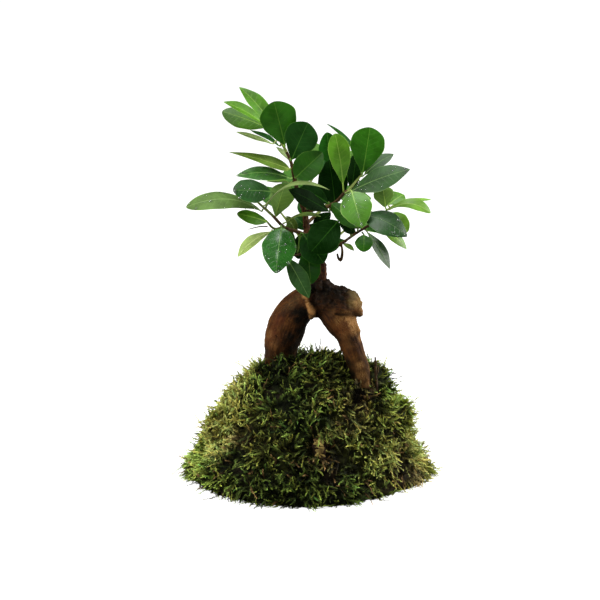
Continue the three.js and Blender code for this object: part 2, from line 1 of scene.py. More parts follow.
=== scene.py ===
import math
import bpy
import numpy as np
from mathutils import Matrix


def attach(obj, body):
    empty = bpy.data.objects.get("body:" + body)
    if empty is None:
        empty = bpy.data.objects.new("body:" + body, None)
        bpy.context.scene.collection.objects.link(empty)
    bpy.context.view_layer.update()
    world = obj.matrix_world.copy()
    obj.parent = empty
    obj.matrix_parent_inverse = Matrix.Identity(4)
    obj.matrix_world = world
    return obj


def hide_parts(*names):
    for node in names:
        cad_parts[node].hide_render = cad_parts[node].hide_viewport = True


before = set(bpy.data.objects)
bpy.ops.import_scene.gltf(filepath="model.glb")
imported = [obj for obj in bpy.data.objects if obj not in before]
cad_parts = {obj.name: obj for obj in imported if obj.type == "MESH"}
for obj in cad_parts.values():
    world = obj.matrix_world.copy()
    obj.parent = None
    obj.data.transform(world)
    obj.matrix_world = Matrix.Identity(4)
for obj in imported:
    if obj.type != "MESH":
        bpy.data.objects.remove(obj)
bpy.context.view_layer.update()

# ---------------------------------------------------------------- numbers (millimetres, as in the CAD)
MOUND_RADIUS = 88.0
MOUND_HEIGHT = 90.0
MOUND_PROFILE = [
    [0, 0.985], [6, 1.0], [14.5, 0.966], [24.6, 0.9], [33, 0.855], [40.5, 0.807],
    [50.6, 0.75], [60.7, 0.66], [67.5, 0.595], [73.7, 0.523], [82, 0.395], [87, 0.25], [89.5, 0.11], [90, 0.0]]
MOUND_PLAN = [
    [0, 1.0], [30, 0.98], [60, 0.95], [90, 0.94], [120, 0.96], [150, 1.0], [180, 1.02], [205, 0.97],
    [225, 0.92], [250, 0.9], [270, 0.89], [290, 0.89], [310, 0.86], [330, 0.9], [345, 0.97], [360, 1.0]]
OUTLINES = {
    "obo": (1.5, 0.6), "ob2": (1.75, 0.56), "oval": (1.12, 0.6), "ell": (1.12, 0.85), "ova": (0.85, 0.68),
    "obl": (1.3, 0.62), "bas": (0.56, 1.12), "ov2": (0.82, 0.8)}
# name, petiole start, blade base, tip, upper-face normal, width, arch, fold, outline, look, water drops
LEAVES = [
    ["leaf_01", [-26.1, -0.49, 249.28], [-28.43, -7, 252.29], [-59.53, -15.9, 272.46], [0.5778, -0.294, 0.7614], 14, 2, 10, "ell", "lime", 0],
    ["leaf_02", [-24.3, 1.57, 247.08], [-23.74, 9, 247.1], [-49.44, 19, 276.19], [0.467, -0.6236, 0.6269], 14.7, 2.6, 12, "ell", "fresh", 0],
    ["leaf_03", [-26.73, 0.46, 249.4], [-30.22, 0.3, 251.46], [-60.87, 0.04, 262.6], [0.2625, -0.6574, 0.7063], 17.5, 1, -8, "obl", "fresh", 0],
    ["leaf_04", [-18.42, -1.99, 239], [-17.44, -6, 239.95], [-25.04, -13, 272.12], [0.1691, -0.9706, -0.1713], 25.9, 2, 8, "ob2", "mid", 0],
    ["leaf_05", [-14.02, -2.67, 229.85], [-12.96, -7.35, 230.03], [-1.62, -16.29, 258.07], [-0.2478, -0.9476, -0.2019], 23.8, 2, 8, "ob2", "dark", 0],
    ["leaf_06", [-22.74, -0.18, 242.58], [-26.44, -0.75, 240.27], [-51.14, 2.59, 247.69], [0.263, -0.1665, 0.9503], 9.8, 0.3, 5, "ell", "greyolive", 0],
    ["leaf_07", [-20.11, 0.75, 239.52], [-21.64, 4.31, 237.81], [-41.91, 18.03, 246.12], [0.3473, -0.0539, 0.9362], 12.6, 0.8, 5, "ell", "dark", 0],
    ["leaf_08", [35.21, 2.33, 218.22], [35.21, 2.81, 219.91], [11.26, 8.2, 252.34], [0.7784, -0.2395, 0.5804], 8.4, 5.3, 4, "obl", "dark", 0],
    ["leaf_09", [35.62, 1.15, 217.81], [36.22, -0.09, 218.88], [41.21, -0.34, 251.59], [-0.0086, -0.9993, -0.0358], 24.5, 2, 8, "ob2", "mid", 0],
    ["leaf_10", [23.03, -12.15, 208.67], [22.51, -15, 214.21], [16.85, -19, 251.01], [0.274, -0.9597, -0.0622], 15.75, 3, 10, "ob2", "lime", 0],
    ["leaf_11", [-13.51, -2.05, 222.99], [-14.36, -3, 222.75], [-56.02, -8, 235.79], [0.3178, -0.3106, 0.8959], 15.4, 1, 6, "bas", "olive", 0],
    ["leaf_12", [-10.79, -1.76, 216.57], [-10.19, -3.41, 216.67], [8.33, -18, 237.67], [-0.473, -0.8557, -0.2099], 19.6, 2, 13, "oval", "mid", 0],
    ["leaf_13", [18.4, 32.12, 199.56], [14.7, 30.42, 204.8], [11.73, 21.83, 243.58], [0.2304, -0.9537, -0.1935], 16.1, 2, 8, "obo", "dark", 0],
    ["leaf_14", [2.04, 31, 210.19], [2.04, 31, 211.94], [1.35, 40, 232.95], [0.0085, 0.9326, -0.3609], 19.6, -3, 8, "obo", "mid", 0],
    ["leaf_15", [35.48, 3.15, 216.87], [37.48, 11.43, 215.38], [58.14, 16.32, 229.15], [-0.3283, -0.6195, 0.7131], 11.9, 2, 5, "ell", "grey", 0],
    ["leaf_16", [-12.66, -1.3, 216.13], [-13.68, -2.27, 215.87], [-50.99, -11.86, 219.72], [0.198, -0.4143, 0.8883], 16.1, 4, -6, "ell", "grey", 1],
    ["leaf_17", [26.22, -10.14, 208.15], [27.41, -11, 208.24], [68.57, -20, 226.19], [-0.4182, -0.6525, 0.6319], 19.6, 2.6, -6, "ell", "grey", 1],
    ["leaf_18", [19.95, 33, 200.35], [20.37, 33, 202.07], [31.61, 38, 226.9], [0.1756, 0.9467, -0.2702], 18.9, -3, 8, "obo", "mid", 0],
    ["leaf_19", [-12.43, -0.48, 213.28], [-13.92, -1.18, 212.69], [-30.7, 2.93, 212.75], [-0.0222, -0.0236, 0.9995], 11.9, 0.5, 5, "ell", "light", 0],
    ["leaf_20", [-30.72, -11.75, 197.47], [-27.05, -18.05, 210.09], [-52.94, -29.19, 213.55], [0.3727, -0.6656, 0.6466], 18.9, 0.8, -6, "oval", "darkgrey", 1],
    ["leaf_21", [12.97, 24.16, 191.79], [17.43, 19.59, 192.83], [13.06, 9.65, 226.43], [0.1935, -0.9473, -0.2552], 21.7, 2, 8, "oval", "vdark", 0],
    ["leaf_22", [-32.58, -12.14, 198.57], [-30.16, -18.37, 201.78], [13.08, -29.14, 213.68], [-0.2779, -0.0563, 0.959], 8.4, 9.5, 4, "ell", "greyolive", 0],
    ["leaf_23", [-3.16, 24.23, 202.02], [-3.47, 25.66, 201.06], [-17.71, 46, 211.51], [0.2196, 0.5234, -0.8233], 18.9, -3, 8, "oval", "dark", 0],
    ["leaf_24", [53.05, -3.71, 194.17], [52.11, -6.8, 196.32], [49.82, -11, 212.27], [-0.1271, 0.9635, 0.2355], 14.7, -1.5, 12, "obo", "olive", 0],
    ["leaf_25", [13.42, -8.2, 196.27], [13.31, -9.89, 194.19], [-15.11, -28.54, 213.89], [0.6821, -0.6044, 0.4116], 14, 1.2, -6, "ell", "vdark", 0],
    ["leaf_26", [12.94, -5.09, 197.7], [13.01, -3.73, 198.11], [-7.1, 0.45, 209.25], [0.1655, -0.7868, 0.5946], 11.9, 1.5, 6, "ell", "vdark", 0],
    ["leaf_27", [-23.61, -9.03, 188.78], [-24.07, -7.6, 189.4], [-17.13, -4, 212.71], [0.2119, 0.9543, -0.2105], 18.2, -2, 10, "ob2", "lime", 0],
    ["leaf_28", [23.98, -12.62, 207.8], [28.52, -19, 210.3], [35.35, -34, 188.47], [-0.1134, -0.8351, 0.5382], 22.4, 3, -10, "ova", "bright", 1],
    ["leaf_29", [54.88, -1.44, 195.59], [54.44, -0.15, 196.69], [65.38, 9.01, 202.01], [0.0779, -0.5744, 0.8149], 12.6, 1, 8, "ell", "olive", 0],
    ["leaf_30", [-32.76, -11.89, 196.27], [-33.69, -13, 195.04], [-85.12, -28, 201.28], [0.2244, -0.3992, 0.889], 19.6, 9, -6, "obo", "greylight", 1],
    ["leaf_31", [56.56, -1.08, 195.62], [60.46, 5.99, 195.91], [84.17, 7.42, 198.59], [-0.1109, -0.0193, 0.9936], 11.9, 0.8, 5, "ell", "light", 0],
    ["leaf_32", [54.52, -3.62, 194.37], [54.93, -5.52, 194.61], [83.12, -11.18, 193.42], [-0.0315, -0.3526, 0.9352], 14, 6.2, 5, "obo", "light", 0],
    ["leaf_33", [-20.49, 30.99, 184.1], [-21.27, 31.84, 185.42], [-34.02, 46, 199.93], [-0.1184, 0.668, -0.7347], 14.7, -3, 8, "ell", "dark", 0],
    ["leaf_34", [33.64, -8.6, 181.35], [32.55, -8.51, 182.72], [14.56, -20.99, 202.02], [0.6223, -0.7759, 0.104], 12.6, 1.2, -6, "oval", "mid", 0],
    ["leaf_35", [16.52, 31.55, 195.9], [16.16, 33.2, 195.53], [43.53, 58, 188.53], [-0.59, 0.4646, -0.6603], 18.2, -3, 8, "ell", "dark", 0],
    ["leaf_36", [-29.75, -11.11, 186.98], [-30.06, -12.69, 187.66], [-50.48, -20, 194.88], [0.4676, -0.557, 0.6863], 11.9, 0.8, -5, "oval", "fresh", 0],
    ["leaf_37", [-3.65, 5.95, 194.75], [3.38, 12, 193.84], [-9.07, 28, 188.33], [-0.8055, -0.5623, 0.1872], 10.5, 1.5, 6, "oval", "dark", 0],
    ["leaf_38", [-18.93, -9.99, 185.66], [-17.4, -10.31, 186.44], [7.37, -19, 192.53], [-0.2544, -0.0074, 0.9671], 9.8, 3.6, 4, "ell", "olive", 0],
    ["leaf_39", [32.83, -10, 180.25], [34.87, -22, 194.49], [66.22, -34.01, 182.07], [0.0977, -0.5808, 0.8081], 22.4, 5, -6, "ell", "darkgrey", 1],
    ["leaf_40", [52.95, -3.85, 192.05], [53.92, -5, 191.29], [67.59, -10, 179.79], [0.0835, -0.8738, 0.4791], 14, 2, 8, "oval", "light", 0],
    ["leaf_41", [19.85, -12.06, 187.95], [19.15, -14, 188.4], [0.47, -27, 169.51], [0.1799, -0.8843, 0.4308], 23.1, 3, -8, "oval", "vdark", 0],
    ["leaf_42", [38.05, -6.1, 181.74], [37.4, -2, 180.26], [58.25, 8, 172.54], [0.4105, -0.1627, 0.8972], 11.9, 1, 5, "ell", "dark", 0],
    ["leaf_43", [27.48, 30.01, 174.22], [28.46, 30.87, 175.38], [53.3, 46, 173.75], [-0.3814, 0.5954, -0.7071], 18.2, -3, 8, "ell", "mid", 0],
    ["leaf_44", [45.23, -4.25, 185.1], [47.1, -3, 181.21], [67.21, -8, 166.62], [0.3877, -0.5652, 0.7282], 9.8, 3, -6, "ell", "light", 0],
    ["leaf_45", [35.83, -9.05, 179.43], [37.25, -10, 177.51], [36.88, -24, 168.79], [-0.0065, -0.5289, 0.8487], 12.6, 1.5, -6, "oval", "mid", 0],
    ["leaf_46", [-26.33, -10.71, 181.49], [-27.24, -11.6, 180.28], [-50.35, -17, 163.53], [-0.4222, -0.5149, 0.7461], 11.9, 3.2, 6, "ell", "yellow", 0],
    ["leaf_47", [-20.23, -11.27, 184.68], [-19.88, -16, 183.9], [-23.74, -33, 155.76], [-0.0257, -0.8541, 0.5194], 24.5, 4, -14, "ova", "gloss", 1],
    ["leaf_48", [-8.91, -9.07, 164.42], [-5.02, -9, 177.99], [9.16, -18, 159.5], [-0.0189, -0.9046, 0.4259], 19.6, 2, 6, "oval", "dark", 0],
    ["leaf_49", [38.47, -8.26, 180.91], [39.34, -9, 179.77], [55.3, -15, 154.48], [0.6423, -0.5485, 0.5354], 12.6, 1.2, 6, "ell", "grey", 0],
    ["leaf_50", [24, -7, 172.51], [24.22, -1.4, 171.9], [8.95, 2, 162.13], [-0.5213, -0.6018, 0.605], 11.9, 1.5, 6, "ell", "dark", 0],
    ["leaf_51", [-14.82, 22.68, 176.95], [-16.4, 21.94, 176.99], [-19.18, 40, 149.62], [-0.1106, 0.8345, 0.5399], 15.4, -3, 8, "oval", "dark", 0],
    ["leaf_52", [20.2, 25.2, 169.06], [19.23, 26.31, 168.12], [9.34, 55, 155.52], [0.9482, 0.2966, -0.1139], 17.5, -3, 8, "oval", "dark", 0],
    ["leaf_53", [-1.83, -4.63, 164.93], [-1.93, -5.7, 166.31], [0.54, -15, 143.75], [0.0138, -0.9122, 0.4095], 15.75, 2, 6, "oval", "green", 0],
    ["leaf_54", [-13.11, -11.48, 163.08], [-16.81, -13, 162.91], [-0.87, -23, 135.56], [0.1996, -0.877, 0.437], 13.65, 1.2, 12, "ell", "grey", 0],
]
YOUNG_SHOOTS = [
    [[22.09, -8.12, 171.27], [22.4, -8, 171.19], [30.32, -13, 166.98], [0.1641, -0.4711, 0.8667], 4.9, 0.8, 5, "ell", "pale"],
    [[31.9, -9.16, 178.65], [31.75, -7.5, 178.49], [20.08, -12, 186.66], [0.5643, -0.7155, 0.4118], 9.8, 0.8, 5, "ell", "vdark"],
    [[30.2, -2.91, 212.24], [28.68, 3, 206.56], [31.89, 14, 230.13], [0.1826, -0.9003, 0.3952], 10.5, 1.5, 6, "oval", "vdark"],
    [[4.63, -1.73, 194.43], [7.52, 6, 198.05], [-5.01, 10, 210], [0.1909, -0.8529, 0.4859], 10.5, 1.5, 6, "ell", "vdark"],
    [[8.18, -3.89, 195.33], [11.68, 3, 197.3], [22.18, 6, 188.77], [0.4624, -0.8438, 0.2723], 8.4, 1, 6, "ell", "vdark"],
    [[36.62, -8.01, 181.33], [35.27, -4, 180.73], [22.07, -3, 184.78], [0.146, -0.738, 0.6588], 6.3, 1, 6, "ell", "vdark"],
    [[32.8, -0.19, 214.7], [40.67, -4, 210.23], [57.83, -8, 213.94], [-0.3028, -0.7153, 0.6297], 7.7, 1.2, 6, "ell", "dark"],
    [[-2.67, 7.1, 170.77], [-0.81, 8, 176.12], [-11.3, 13, 185.72], [0.1228, -0.8189, 0.5607], 11.9, 1.5, 6, "ell", "dark"],
    [[-3.17, 8.12, 170.85], [-4.3, 8, 168.22], [6.9, 14, 179.75], [-0.1414, -0.815, 0.5619], 11.9, 1.5, 6, "ell", "vdark"],
    [[-4.03, -1.07, 175.76], [-9.19, 4, 174.92], [-16.51, 5, 187.57], [0.3587, -0.8911, 0.2779], 7.7, 1, 6, "ell", "olive"],
    [[-3.68, 9.14, 170.93], [-8.5, 7, 172.77], [-7.8, 6, 156.48], [0.1814, -0.9811, 0.068], 9.8, 1.5, 6, "oval", "vdark"],
    [[-3.17, 8.12, 170.85], [1.29, 10, 174.94], [14.57, 12, 188.46], [-0.2866, -0.8662, 0.4093], 10.5, 1.5, 6, "ell", "vdark"],
    [[-10.48, 0.5, 212.39], [-7.79, 5, 213.93], [10.27, 9, 226.21], [-0.1535, -0.8506, 0.503], 11.9, 1.5, 6, "ell", "dark"],
    [[-13.22, -1.04, 226.66], [-13.34, 2, 226.63], [-23.72, 4, 236.82], [0.5842, -0.4398, 0.6821], 6.3, 0.8, 6, "ell", "greyolive"],
    [[-0.94, 1.46, 172.01], [-5.01, -0.5, 170.61], [-7.8, -2, 177.05], [0.4736, -0.8807, -0.0003], 4.2, 0.5, 5, "ell", "pale"],
]
# centre lines: x, y, z, radius
STEM = {
    "main": [[5.1369, 0, 137.789, 5], [7.7843, 0, 143.557, 3.4], [8.6086, 0, 151.476, 2.8], [6.8551, 0.5, 158.541, 2.6], [2.6628, 1, 165.596, 2.5], [-1.176, 1.5, 172.644, 2.4], [-2.5733, 2, 181.113, 2.2], [-3.6213, 2, 189.684, 2], [-6.4051, 2, 199.663, 1.8], [-9.5286, 1, 209.129, 1.5], [-11.2583, 0, 215.733, 1.35], [-12.9814, -1, 225.857, 1.2], [-16.7768, -1, 235.035, 1.05], [-21.6078, 0, 243.286, 0.9], [-25.7451, 0.5, 248.815, 0.7]],
    "left": [[-1.5267, 1, 174.195, 1.5], [-9.1833, -5, 178.827, 1.35], [-18.1861, -9, 182.972, 1.2], [-26.4633, -11, 191.96, 1.05], [-33.015, -11, 197.986, 0.9], [-37.1621, -10, 201.654, 0.7]],
    "left2": [[-18.1861, -9, 182.972, 1], [-25.1086, -10, 182.139, 0.9], [-30.9794, -10, 188.18, 0.7]],
    "right": [[6.5051, 0.5, 159.259, 1.5], [9.9606, -3, 162.621, 1.25], [14.4499, -6, 165.997, 1.1], [21.4992, -8, 170.836, 1], [28.5417, -9, 176.208, 1], [33.1035, -9, 179.413, 1], [39.3648, -7, 182.86, 0.95], [46.3426, -4, 187.503, 0.9], [52.2336, -3, 192.612, 0.8], [56.0569, -2, 195.586, 0.6]],
    "right2": [[28.9563, -9, 176.565, 0.9], [24.7562, -10, 183.561, 0.9], [20.2295, -11, 187.702, 0.7]],
    "upper": [[-3.4822, 2, 189.684, 1.6], [3.3171, -1, 193.935, 1.5], [11.6036, -6, 196.495, 1.3], [18.4701, -10, 201.654, 1.2], [22.2278, -12, 206.701, 1.05], [26.0749, -8, 208.639, 1], [30.9955, -2, 212.981, 0.9], [35.2067, 2, 217.071, 0.75]],
    "low": [[3.7111, 1, 163.803, 1.4], [-2.2282, -4, 163.58, 1.2], [-7.7948, -8, 163.121, 1], [-11.9569, -11, 163.137, 0.8]],
    "stub": [[21.4997, -8, 170.693, 0.7], [22.2665, -9, 165.865, 0.95], [21.9336, -9, 161.577, 1.1], [21.0456, -8.5, 158.88, 1], [19.5173, -8, 160.618, 0.9], [18.7433, -8, 163.836, 0.7]],
    "g1": [[-4.6661, 2, 193.964, 1.4], [-5.7031, 13, 197.904, 1.25], [-2.8931, 23, 202.84, 1.05], [2.0407, 31, 208.987, 0.75]],
    "g2": [[-2.7133, 2, 182.543, 1.4], [4.1005, 15, 185.981, 1.25], [12.5822, 26, 192.104, 1.05], [19.672, 33, 199.185, 0.75]],
    "g3": [[-0.1273, 2, 170.375, 1.3], [-6.3991, 14, 171.834, 1.15], [-14.1349, 24, 177.417, 0.95], [-20.4977, 31, 183.748, 0.7]],
    "g4": [[4.7625, 1.5, 161.887, 1.2], [11.8312, 13, 164.146, 1.1], [19.6464, 23, 168.98, 0.95], [27.4754, 30, 173.846, 0.7]],
}
ROOT = {
    "left_leg": [[-24.1, 10, 61.42, 8.05], [-22.66, 9.5, 73.34, 9.52], [-21.01, 8.5, 83.9, 11.06], [-20.14, 7, 93.83, 12.18], [-17.3, 5.5, 105.18, 13.51], [-12.72, 3.5, 116.26, 12.88], [-5.7, 1, 125.61, 10.85], [4.09, -1, 128.66, 9.45], [11.08, -2, 128.19, 8.4]],
    "right_leg": [[38.58, -13, 43.93, 4.55], [39.54, -14.5, 54.63, 5.32], [38.86, -15, 62.81, 5.74], [36.85, -15, 71.55, 6.16], [34.18, -13.2, 82.68, 7], [29.96, -11, 95.13, 7.84], [26.18, -9, 105.46, 8.54], [20.86, -6.5, 114.92, 10.64], [14.58, -3.5, 122.8, 10.5], [8.29, -2, 127.47, 9.1]],
    "crotch": [[-3.6, 0, 126.23, 7.7], [1.3, -0.5, 124.55, 8.05], [5.5, -1, 123.6, 7.7], [9.7, -2, 123.13, 7]],
    "head": [[1.29, -2, 128.19, 5.6], [5.49, -2, 128.56, 9.45], [12.47, -3, 128.45, 11.41], [20.85, -4, 127.27, 11.55], [27.14, -5, 125.36, 10.71], [31.69, -5, 122.84, 7.7], [34.14, -5, 121.03, 3.5]],
}

# ---------------------------------------------------------------- camera, light, floor
# The camera sits low in front (-Y), 14.5 degrees above the horizon, far away, as in the photograph.
ELEV = math.radians(14.5)
CAM_D = 2.200
TARGET = np.array([-0.0071, 0.0, 0.1284])
CAM = TARGET - CAM_D * np.array([0, math.cos(ELEV), -math.sin(ELEV)])
cam_data = bpy.data.cameras.new("view_camera")
cam_data.lens = 188.57
cam_data.sensor_width = 36.0
cam_data.sensor_fit = "HORIZONTAL"
cam_data.clip_end = 50.0
camera = bpy.data.objects.new("view_camera", cam_data)
camera.location = CAM
camera.rotation_euler = (math.radians(90 - 14.5), 0, 0)
bpy.context.scene.collection.objects.link(camera)
bpy.context.scene.camera = camera
bpy.context.scene.view_settings.view_transform = "Standard"


def from_photo(u, v, y):
    """Row-frame point in millimetres at depth y that the camera sees at (u, v)."""
    f = 3142.857
    fwd = np.array([0, math.cos(ELEV), -math.sin(ELEV)])
    up = np.array([0, math.sin(ELEV), math.cos(ELEV)])
    ray = np.array([1.0, 0, 0]) * (u - 300) / f + up * (300 - v) / f + fwd
    c = CAM * 1000.0
    return c + (y - c[1]) / ray[1] * ray


def area_light(name, loc, target, size, power, colour=(1, 1, 1), size_y=None):
    data = bpy.data.lights.new(name, "AREA")
    data.energy = power
    data.color = colour
    data.size = size
    if size_y:
        data.shape = "RECTANGLE"
        data.size_y = size_y
    ob = bpy.data.objects.new(name, data)
    ob.location = loc
    d = np.array(target, float) - np.array(loc, float)
    from mathutils import Vector
    ob.rotation_euler = Vector(d).to_track_quat("-Z", "Y").to_euler()
    bpy.context.scene.collection.objects.link(ob)
    return ob


area_light("top_box", (-0.10, 0.10, 1.25), (0, 0, 0.14), 0.9, 19.0, (1.0, 1.0, 1.0), 0.9)
area_light("left_box", (-1.15, -0.45, 0.62), (0, 0, 0.12), 0.55, 17.0, (1.0, 0.99, 0.97), 0.9)
area_light("right_box", (1.15, 0.22, 0.62), (0, 0, 0.12), 0.5, 27.0, (1.0, 0.99, 0.97), 0.9)
area_light("front_box", (-0.35, -1.6, 1.3), (0, 0, 0.12), 0.5, 7.0, (1.0, 1.0, 1.0), 0.5)

world = bpy.data.worlds.new("studio")
bpy.context.scene.world = world
world.use_nodes = True
wt = world.node_tree
wt.nodes.clear()
wo = wt.nodes.new("ShaderNodeOutputWorld")
wm = wt.nodes.new("ShaderNodeMixShader")
wl = wt.nodes.new("ShaderNodeLightPath")
w_see = wt.nodes.new("ShaderNodeBackground")
w_see.inputs[0].default_value = (1, 1, 1, 1)
w_see.inputs[1].default_value = 1.05
w_lit = wt.nodes.new("ShaderNodeBackground")
w_lit.inputs[0].default_value = (0.98, 1.0, 1.0, 1)
w_lit.inputs[1].default_value = 0.12
wt.links.new(wl.outputs["Is Camera Ray"], wm.inputs[0])
wt.links.new(w_lit.outputs[0], wm.inputs[1])
wt.links.new(w_see.outputs[0], wm.inputs[2])
wt.links.new(wm.outputs[0], wo.inputs[0])


# ---------------------------------------------------------------- small tools
def unit(a):
    a = np.asarray(a, float)
    n = np.linalg.norm(a, axis=-1, keepdims=True)
    return a / np.maximum(n, 1e-12)


def hash3(i, seed):
    i = i.astype(np.int64)
    h = (i[..., 0] * 374761393 + i[..., 1] * 668265263 + i[..., 2] * 2147483647 + seed * 974634777) & 0xFFFFFFFF
    h = ((h ^ (h >> 13)) * 1274126177) & 0xFFFFFFFF
    h = ((h ^ (h >> 16)) * 2246822519) & 0xFFFFFFFF
    return ((h ^ (h >> 15)) & 0xFFFFFF) / float(0xFFFFFF)


def vnoise(p, seed=0):
    """Smooth value noise, 0 to 1, of points in cell units."""
    p = np.asarray(p, float)
    i = np.floor(p)
    f = p - i
    f = f * f * (3 - 2 * f)
    out = 0.0
    for dx in (0, 1):
        for dy in (0, 1):
            for dz in (0, 1):
                w = ((f[..., 0] if dx else 1 - f[..., 0]) * (f[..., 1] if dy else 1 - f[..., 1])
                     * (f[..., 2] if dz else 1 - f[..., 2]))
                out = out + w * hash3(i + np.array([dx, dy, dz]), seed)
    return out


def fbm(p, seed=0, octaves=4):
    p = np.asarray(p, float)
    s, a, t = 0.0, 1.0, 0.0
    for k in range(octaves):
        s = s + a * vnoise(p, seed + k * 7)
        t += a
        a *= 0.5
        p = p * 2.03 + 11.7
    return s / t


def smoothstep(a, b, x):
    t = np.clip((x - a) / (b - a), 0, 1)
    return t * t * (3 - 2 * t)


def srgb(r, g, b):
    return tuple(((c / 255.0) / 12.92 if c / 255.0 <= 0.04045 else ((c / 255.0 + 0.055) / 1.055) ** 2.4) for c in (r, g, b))


def make_piece(name, verts_mm, tris, material, smooth=True, points=None, uv=None, mats=None, mat_index=None):
    """A mesh object in metres that rides on the root. points: {name: (N,) or (N,3) array}; uv: (T,3,2) array."""
    me = bpy.data.meshes.new(name)
    v = (np.asarray(verts_mm, np.float64) * 0.001).astype(np.float32)
    t = np.asarray(tris, np.int32)
    me.vertices.add(len(v))
    me.vertices.foreach_set("co", v.ravel())
    me.loops.add(t.size)
    me.loops.foreach_set("vertex_index", t.ravel())
    me.polygons.add(len(t))
    me.polygons.foreach_set("loop_start", np.arange(0, t.size, 3, dtype=np.int32))
    me.polygons.foreach_set("loop_total", np.full(len(t), 3, np.int32))
    me.polygons.foreach_set("use_smooth", np.full(len(t), bool(smooth)))
    if mat_index is not None:
        me.polygons.foreach_set("material_index", np.asarray(mat_index, np.int32))
    me.update(calc_edges=True)
    for k, arr in (points or {}).items():
        arr = np.asarray(arr, np.float32)
        if arr.ndim == 1:
            at = me.attributes.new(k, "FLOAT", "POINT")
            at.data.foreach_set("value", arr)
        elif k.startswith("co_"):
            at = me.attributes.new(k, "FLOAT_VECTOR", "POINT")
            at.data.foreach_set("vector", arr.ravel())
        else:
            at = me.attributes.new(k, "FLOAT_COLOR", "POINT")
            at.data.foreach_set("color", np.concatenate([arr, np.ones((len(arr), 1), np.float32)], 1).ravel())
    if uv is not None:
        layer = me.uv_layers.new(name="OFBake")
        layer.data.foreach_set("uv", np.asarray(uv, np.float32).ravel())
    for m in (mats or [material]):
        me.materials.append(m)
    me.validate()
    ob = bpy.data.objects.new(name, me)
    bpy.context.scene.collection.objects.link(ob)
    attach(ob, "root")
    return ob


def catmull(points, step):
    """Points [x, y, z, r] resampled smoothly at about step mm."""
    p = np.asarray(points, float)
    ext = np.vstack([2 * p[0] - p[1], p, 2 * p[-1] - p[-2]])
    out = []
    for i in range(1, len(ext) - 2):
        a, b, c, d = ext[i - 1:i + 3]
        n = max(1, int(round(np.linalg.norm(c[:3] - b[:3]) / step)))
        for k in range(n):
            t = k / n
            out.append(0.5 * ((2 * b) + (-a + c) * t + (2 * a - 5 * b + 4 * c - d) * t * t + (-a + 3 * b - 3 * c + d) * t ** 3))
    out.append(ext[-2])
    return np.array(out)


def tube_mesh(line, sides, flat=None):
    """Closed tube round [x, y, z, r] points, with a parallel-transported frame."""
    p = line[:, :3]
    n = len(p)
    tang = unit(np.gradient(p, axis=0))
    a = unit(np.cross(tang[0], [0.31, 0.9, 0.2]))
    verts, frames = [], []
    ang = 2 * np.pi * np.arange(sides) / sides
    for i in range(n):
        a = unit(a - tang[i] * (a @ tang[i]))
        b = np.cross(tang[i], a)
        verts.append(p[i] + line[i, 3] * (np.outer(np.cos(ang), a) + np.outer(np.sin(ang), b)))
        frames.append((a.copy(), b.copy(), tang[i]))
    verts = np.concatenate(verts + [p[:1], p[-1:]])
    i, k = np.meshgrid(np.arange(n - 1), np.arange(sides), indexing="ij")
    q = (i * sides + k).ravel()
    r = (i * sides + (k + 1) % sides).ravel()
    tris = np.concatenate([np.stack([q, r, r + sides], 1), np.stack([q, r + sides, q + sides], 1)])
    kk = np.arange(sides)
    c0, c1 = n * sides, n * sides + 1
    tris = np.concatenate([tris, np.stack([np.full(sides, c0), (kk + 1) % sides, kk], 1),
                           np.stack([np.full(sides, c1), (n - 1) * sides + kk, (n - 1) * sides + (kk + 1) % sides], 1)])
    return verts, tris, frames


def join(parts):
    vs, ts, o = [], [], 0
    for v, t in parts:
        vs.append(v)
        ts.append(t + o)
        o += len(v)
    return np.concatenate(vs), np.concatenate(ts)


def remesh(verts_mm, tris, voxel_mm):
    """Voxel remesh of overlapping closed parts into one skin: (verts_mm, tris)."""
    me = bpy.data.meshes.new("tmp")
    me.from_pydata((np.asarray(verts_mm) * 0.001).tolist(), [], np.asarray(tris).tolist())
    ob = bpy.data.objects.new("tmp", me)
    bpy.context.scene.collection.objects.link(ob)
    m = ob.modifiers.new("r", "REMESH")
    m.mode = "VOXEL"
    m.voxel_size = voxel_mm * 0.001
    dg = bpy.context.evaluated_depsgraph_get()
    ev = ob.evaluated_get(dg)
    em = ev.to_mesh()
    em.calc_loop_triangles()
    v = np.empty(len(em.vertices) * 3, np.float32)
    em.vertices.foreach_get("co", v)
    t = np.empty(len(em.loop_triangles) * 3, np.int32)
    em.loop_triangles.foreach_get("vertices", t)
    ev.to_mesh_clear()
    bpy.data.objects.remove(ob)
    bpy.data.meshes.remove(me)
    return v.reshape(-1, 3).astype(float) * 1000.0, t.reshape(-1, 3)


def edges_of(tris):
    e = np.concatenate([tris[:, [0, 1]], tris[:, [1, 2]], tris[:, [2, 0]]])
    e = np.sort(e, 1)
    return np.unique(e, axis=0)


def relax(v, e, times, k=0.5):
    n = len(v)
    deg = np.bincount(e.ravel(), minlength=n).astype(float)[:, None]
    for _ in range(times):
        s = np.zeros_like(v)
        for c in range(3):
            s[:, c] = np.bincount(e[:, 0], v[e[:, 1], c], n) + np.bincount(e[:, 1], v[e[:, 0], c], n)
        v = v + k * (s / np.maximum(deg, 1) - v)
    return v


def normals_of(v, t):
    fn = np.cross(v[t[:, 1]] - v[t[:, 0]], v[t[:, 2]] - v[t[:, 0]])
    n = np.zeros_like(v)
    for k in range(3):
        for c in range(3):
            n[:, c] += np.bincount(t[:, k], fn[:, c], len(v))
    return unit(n)


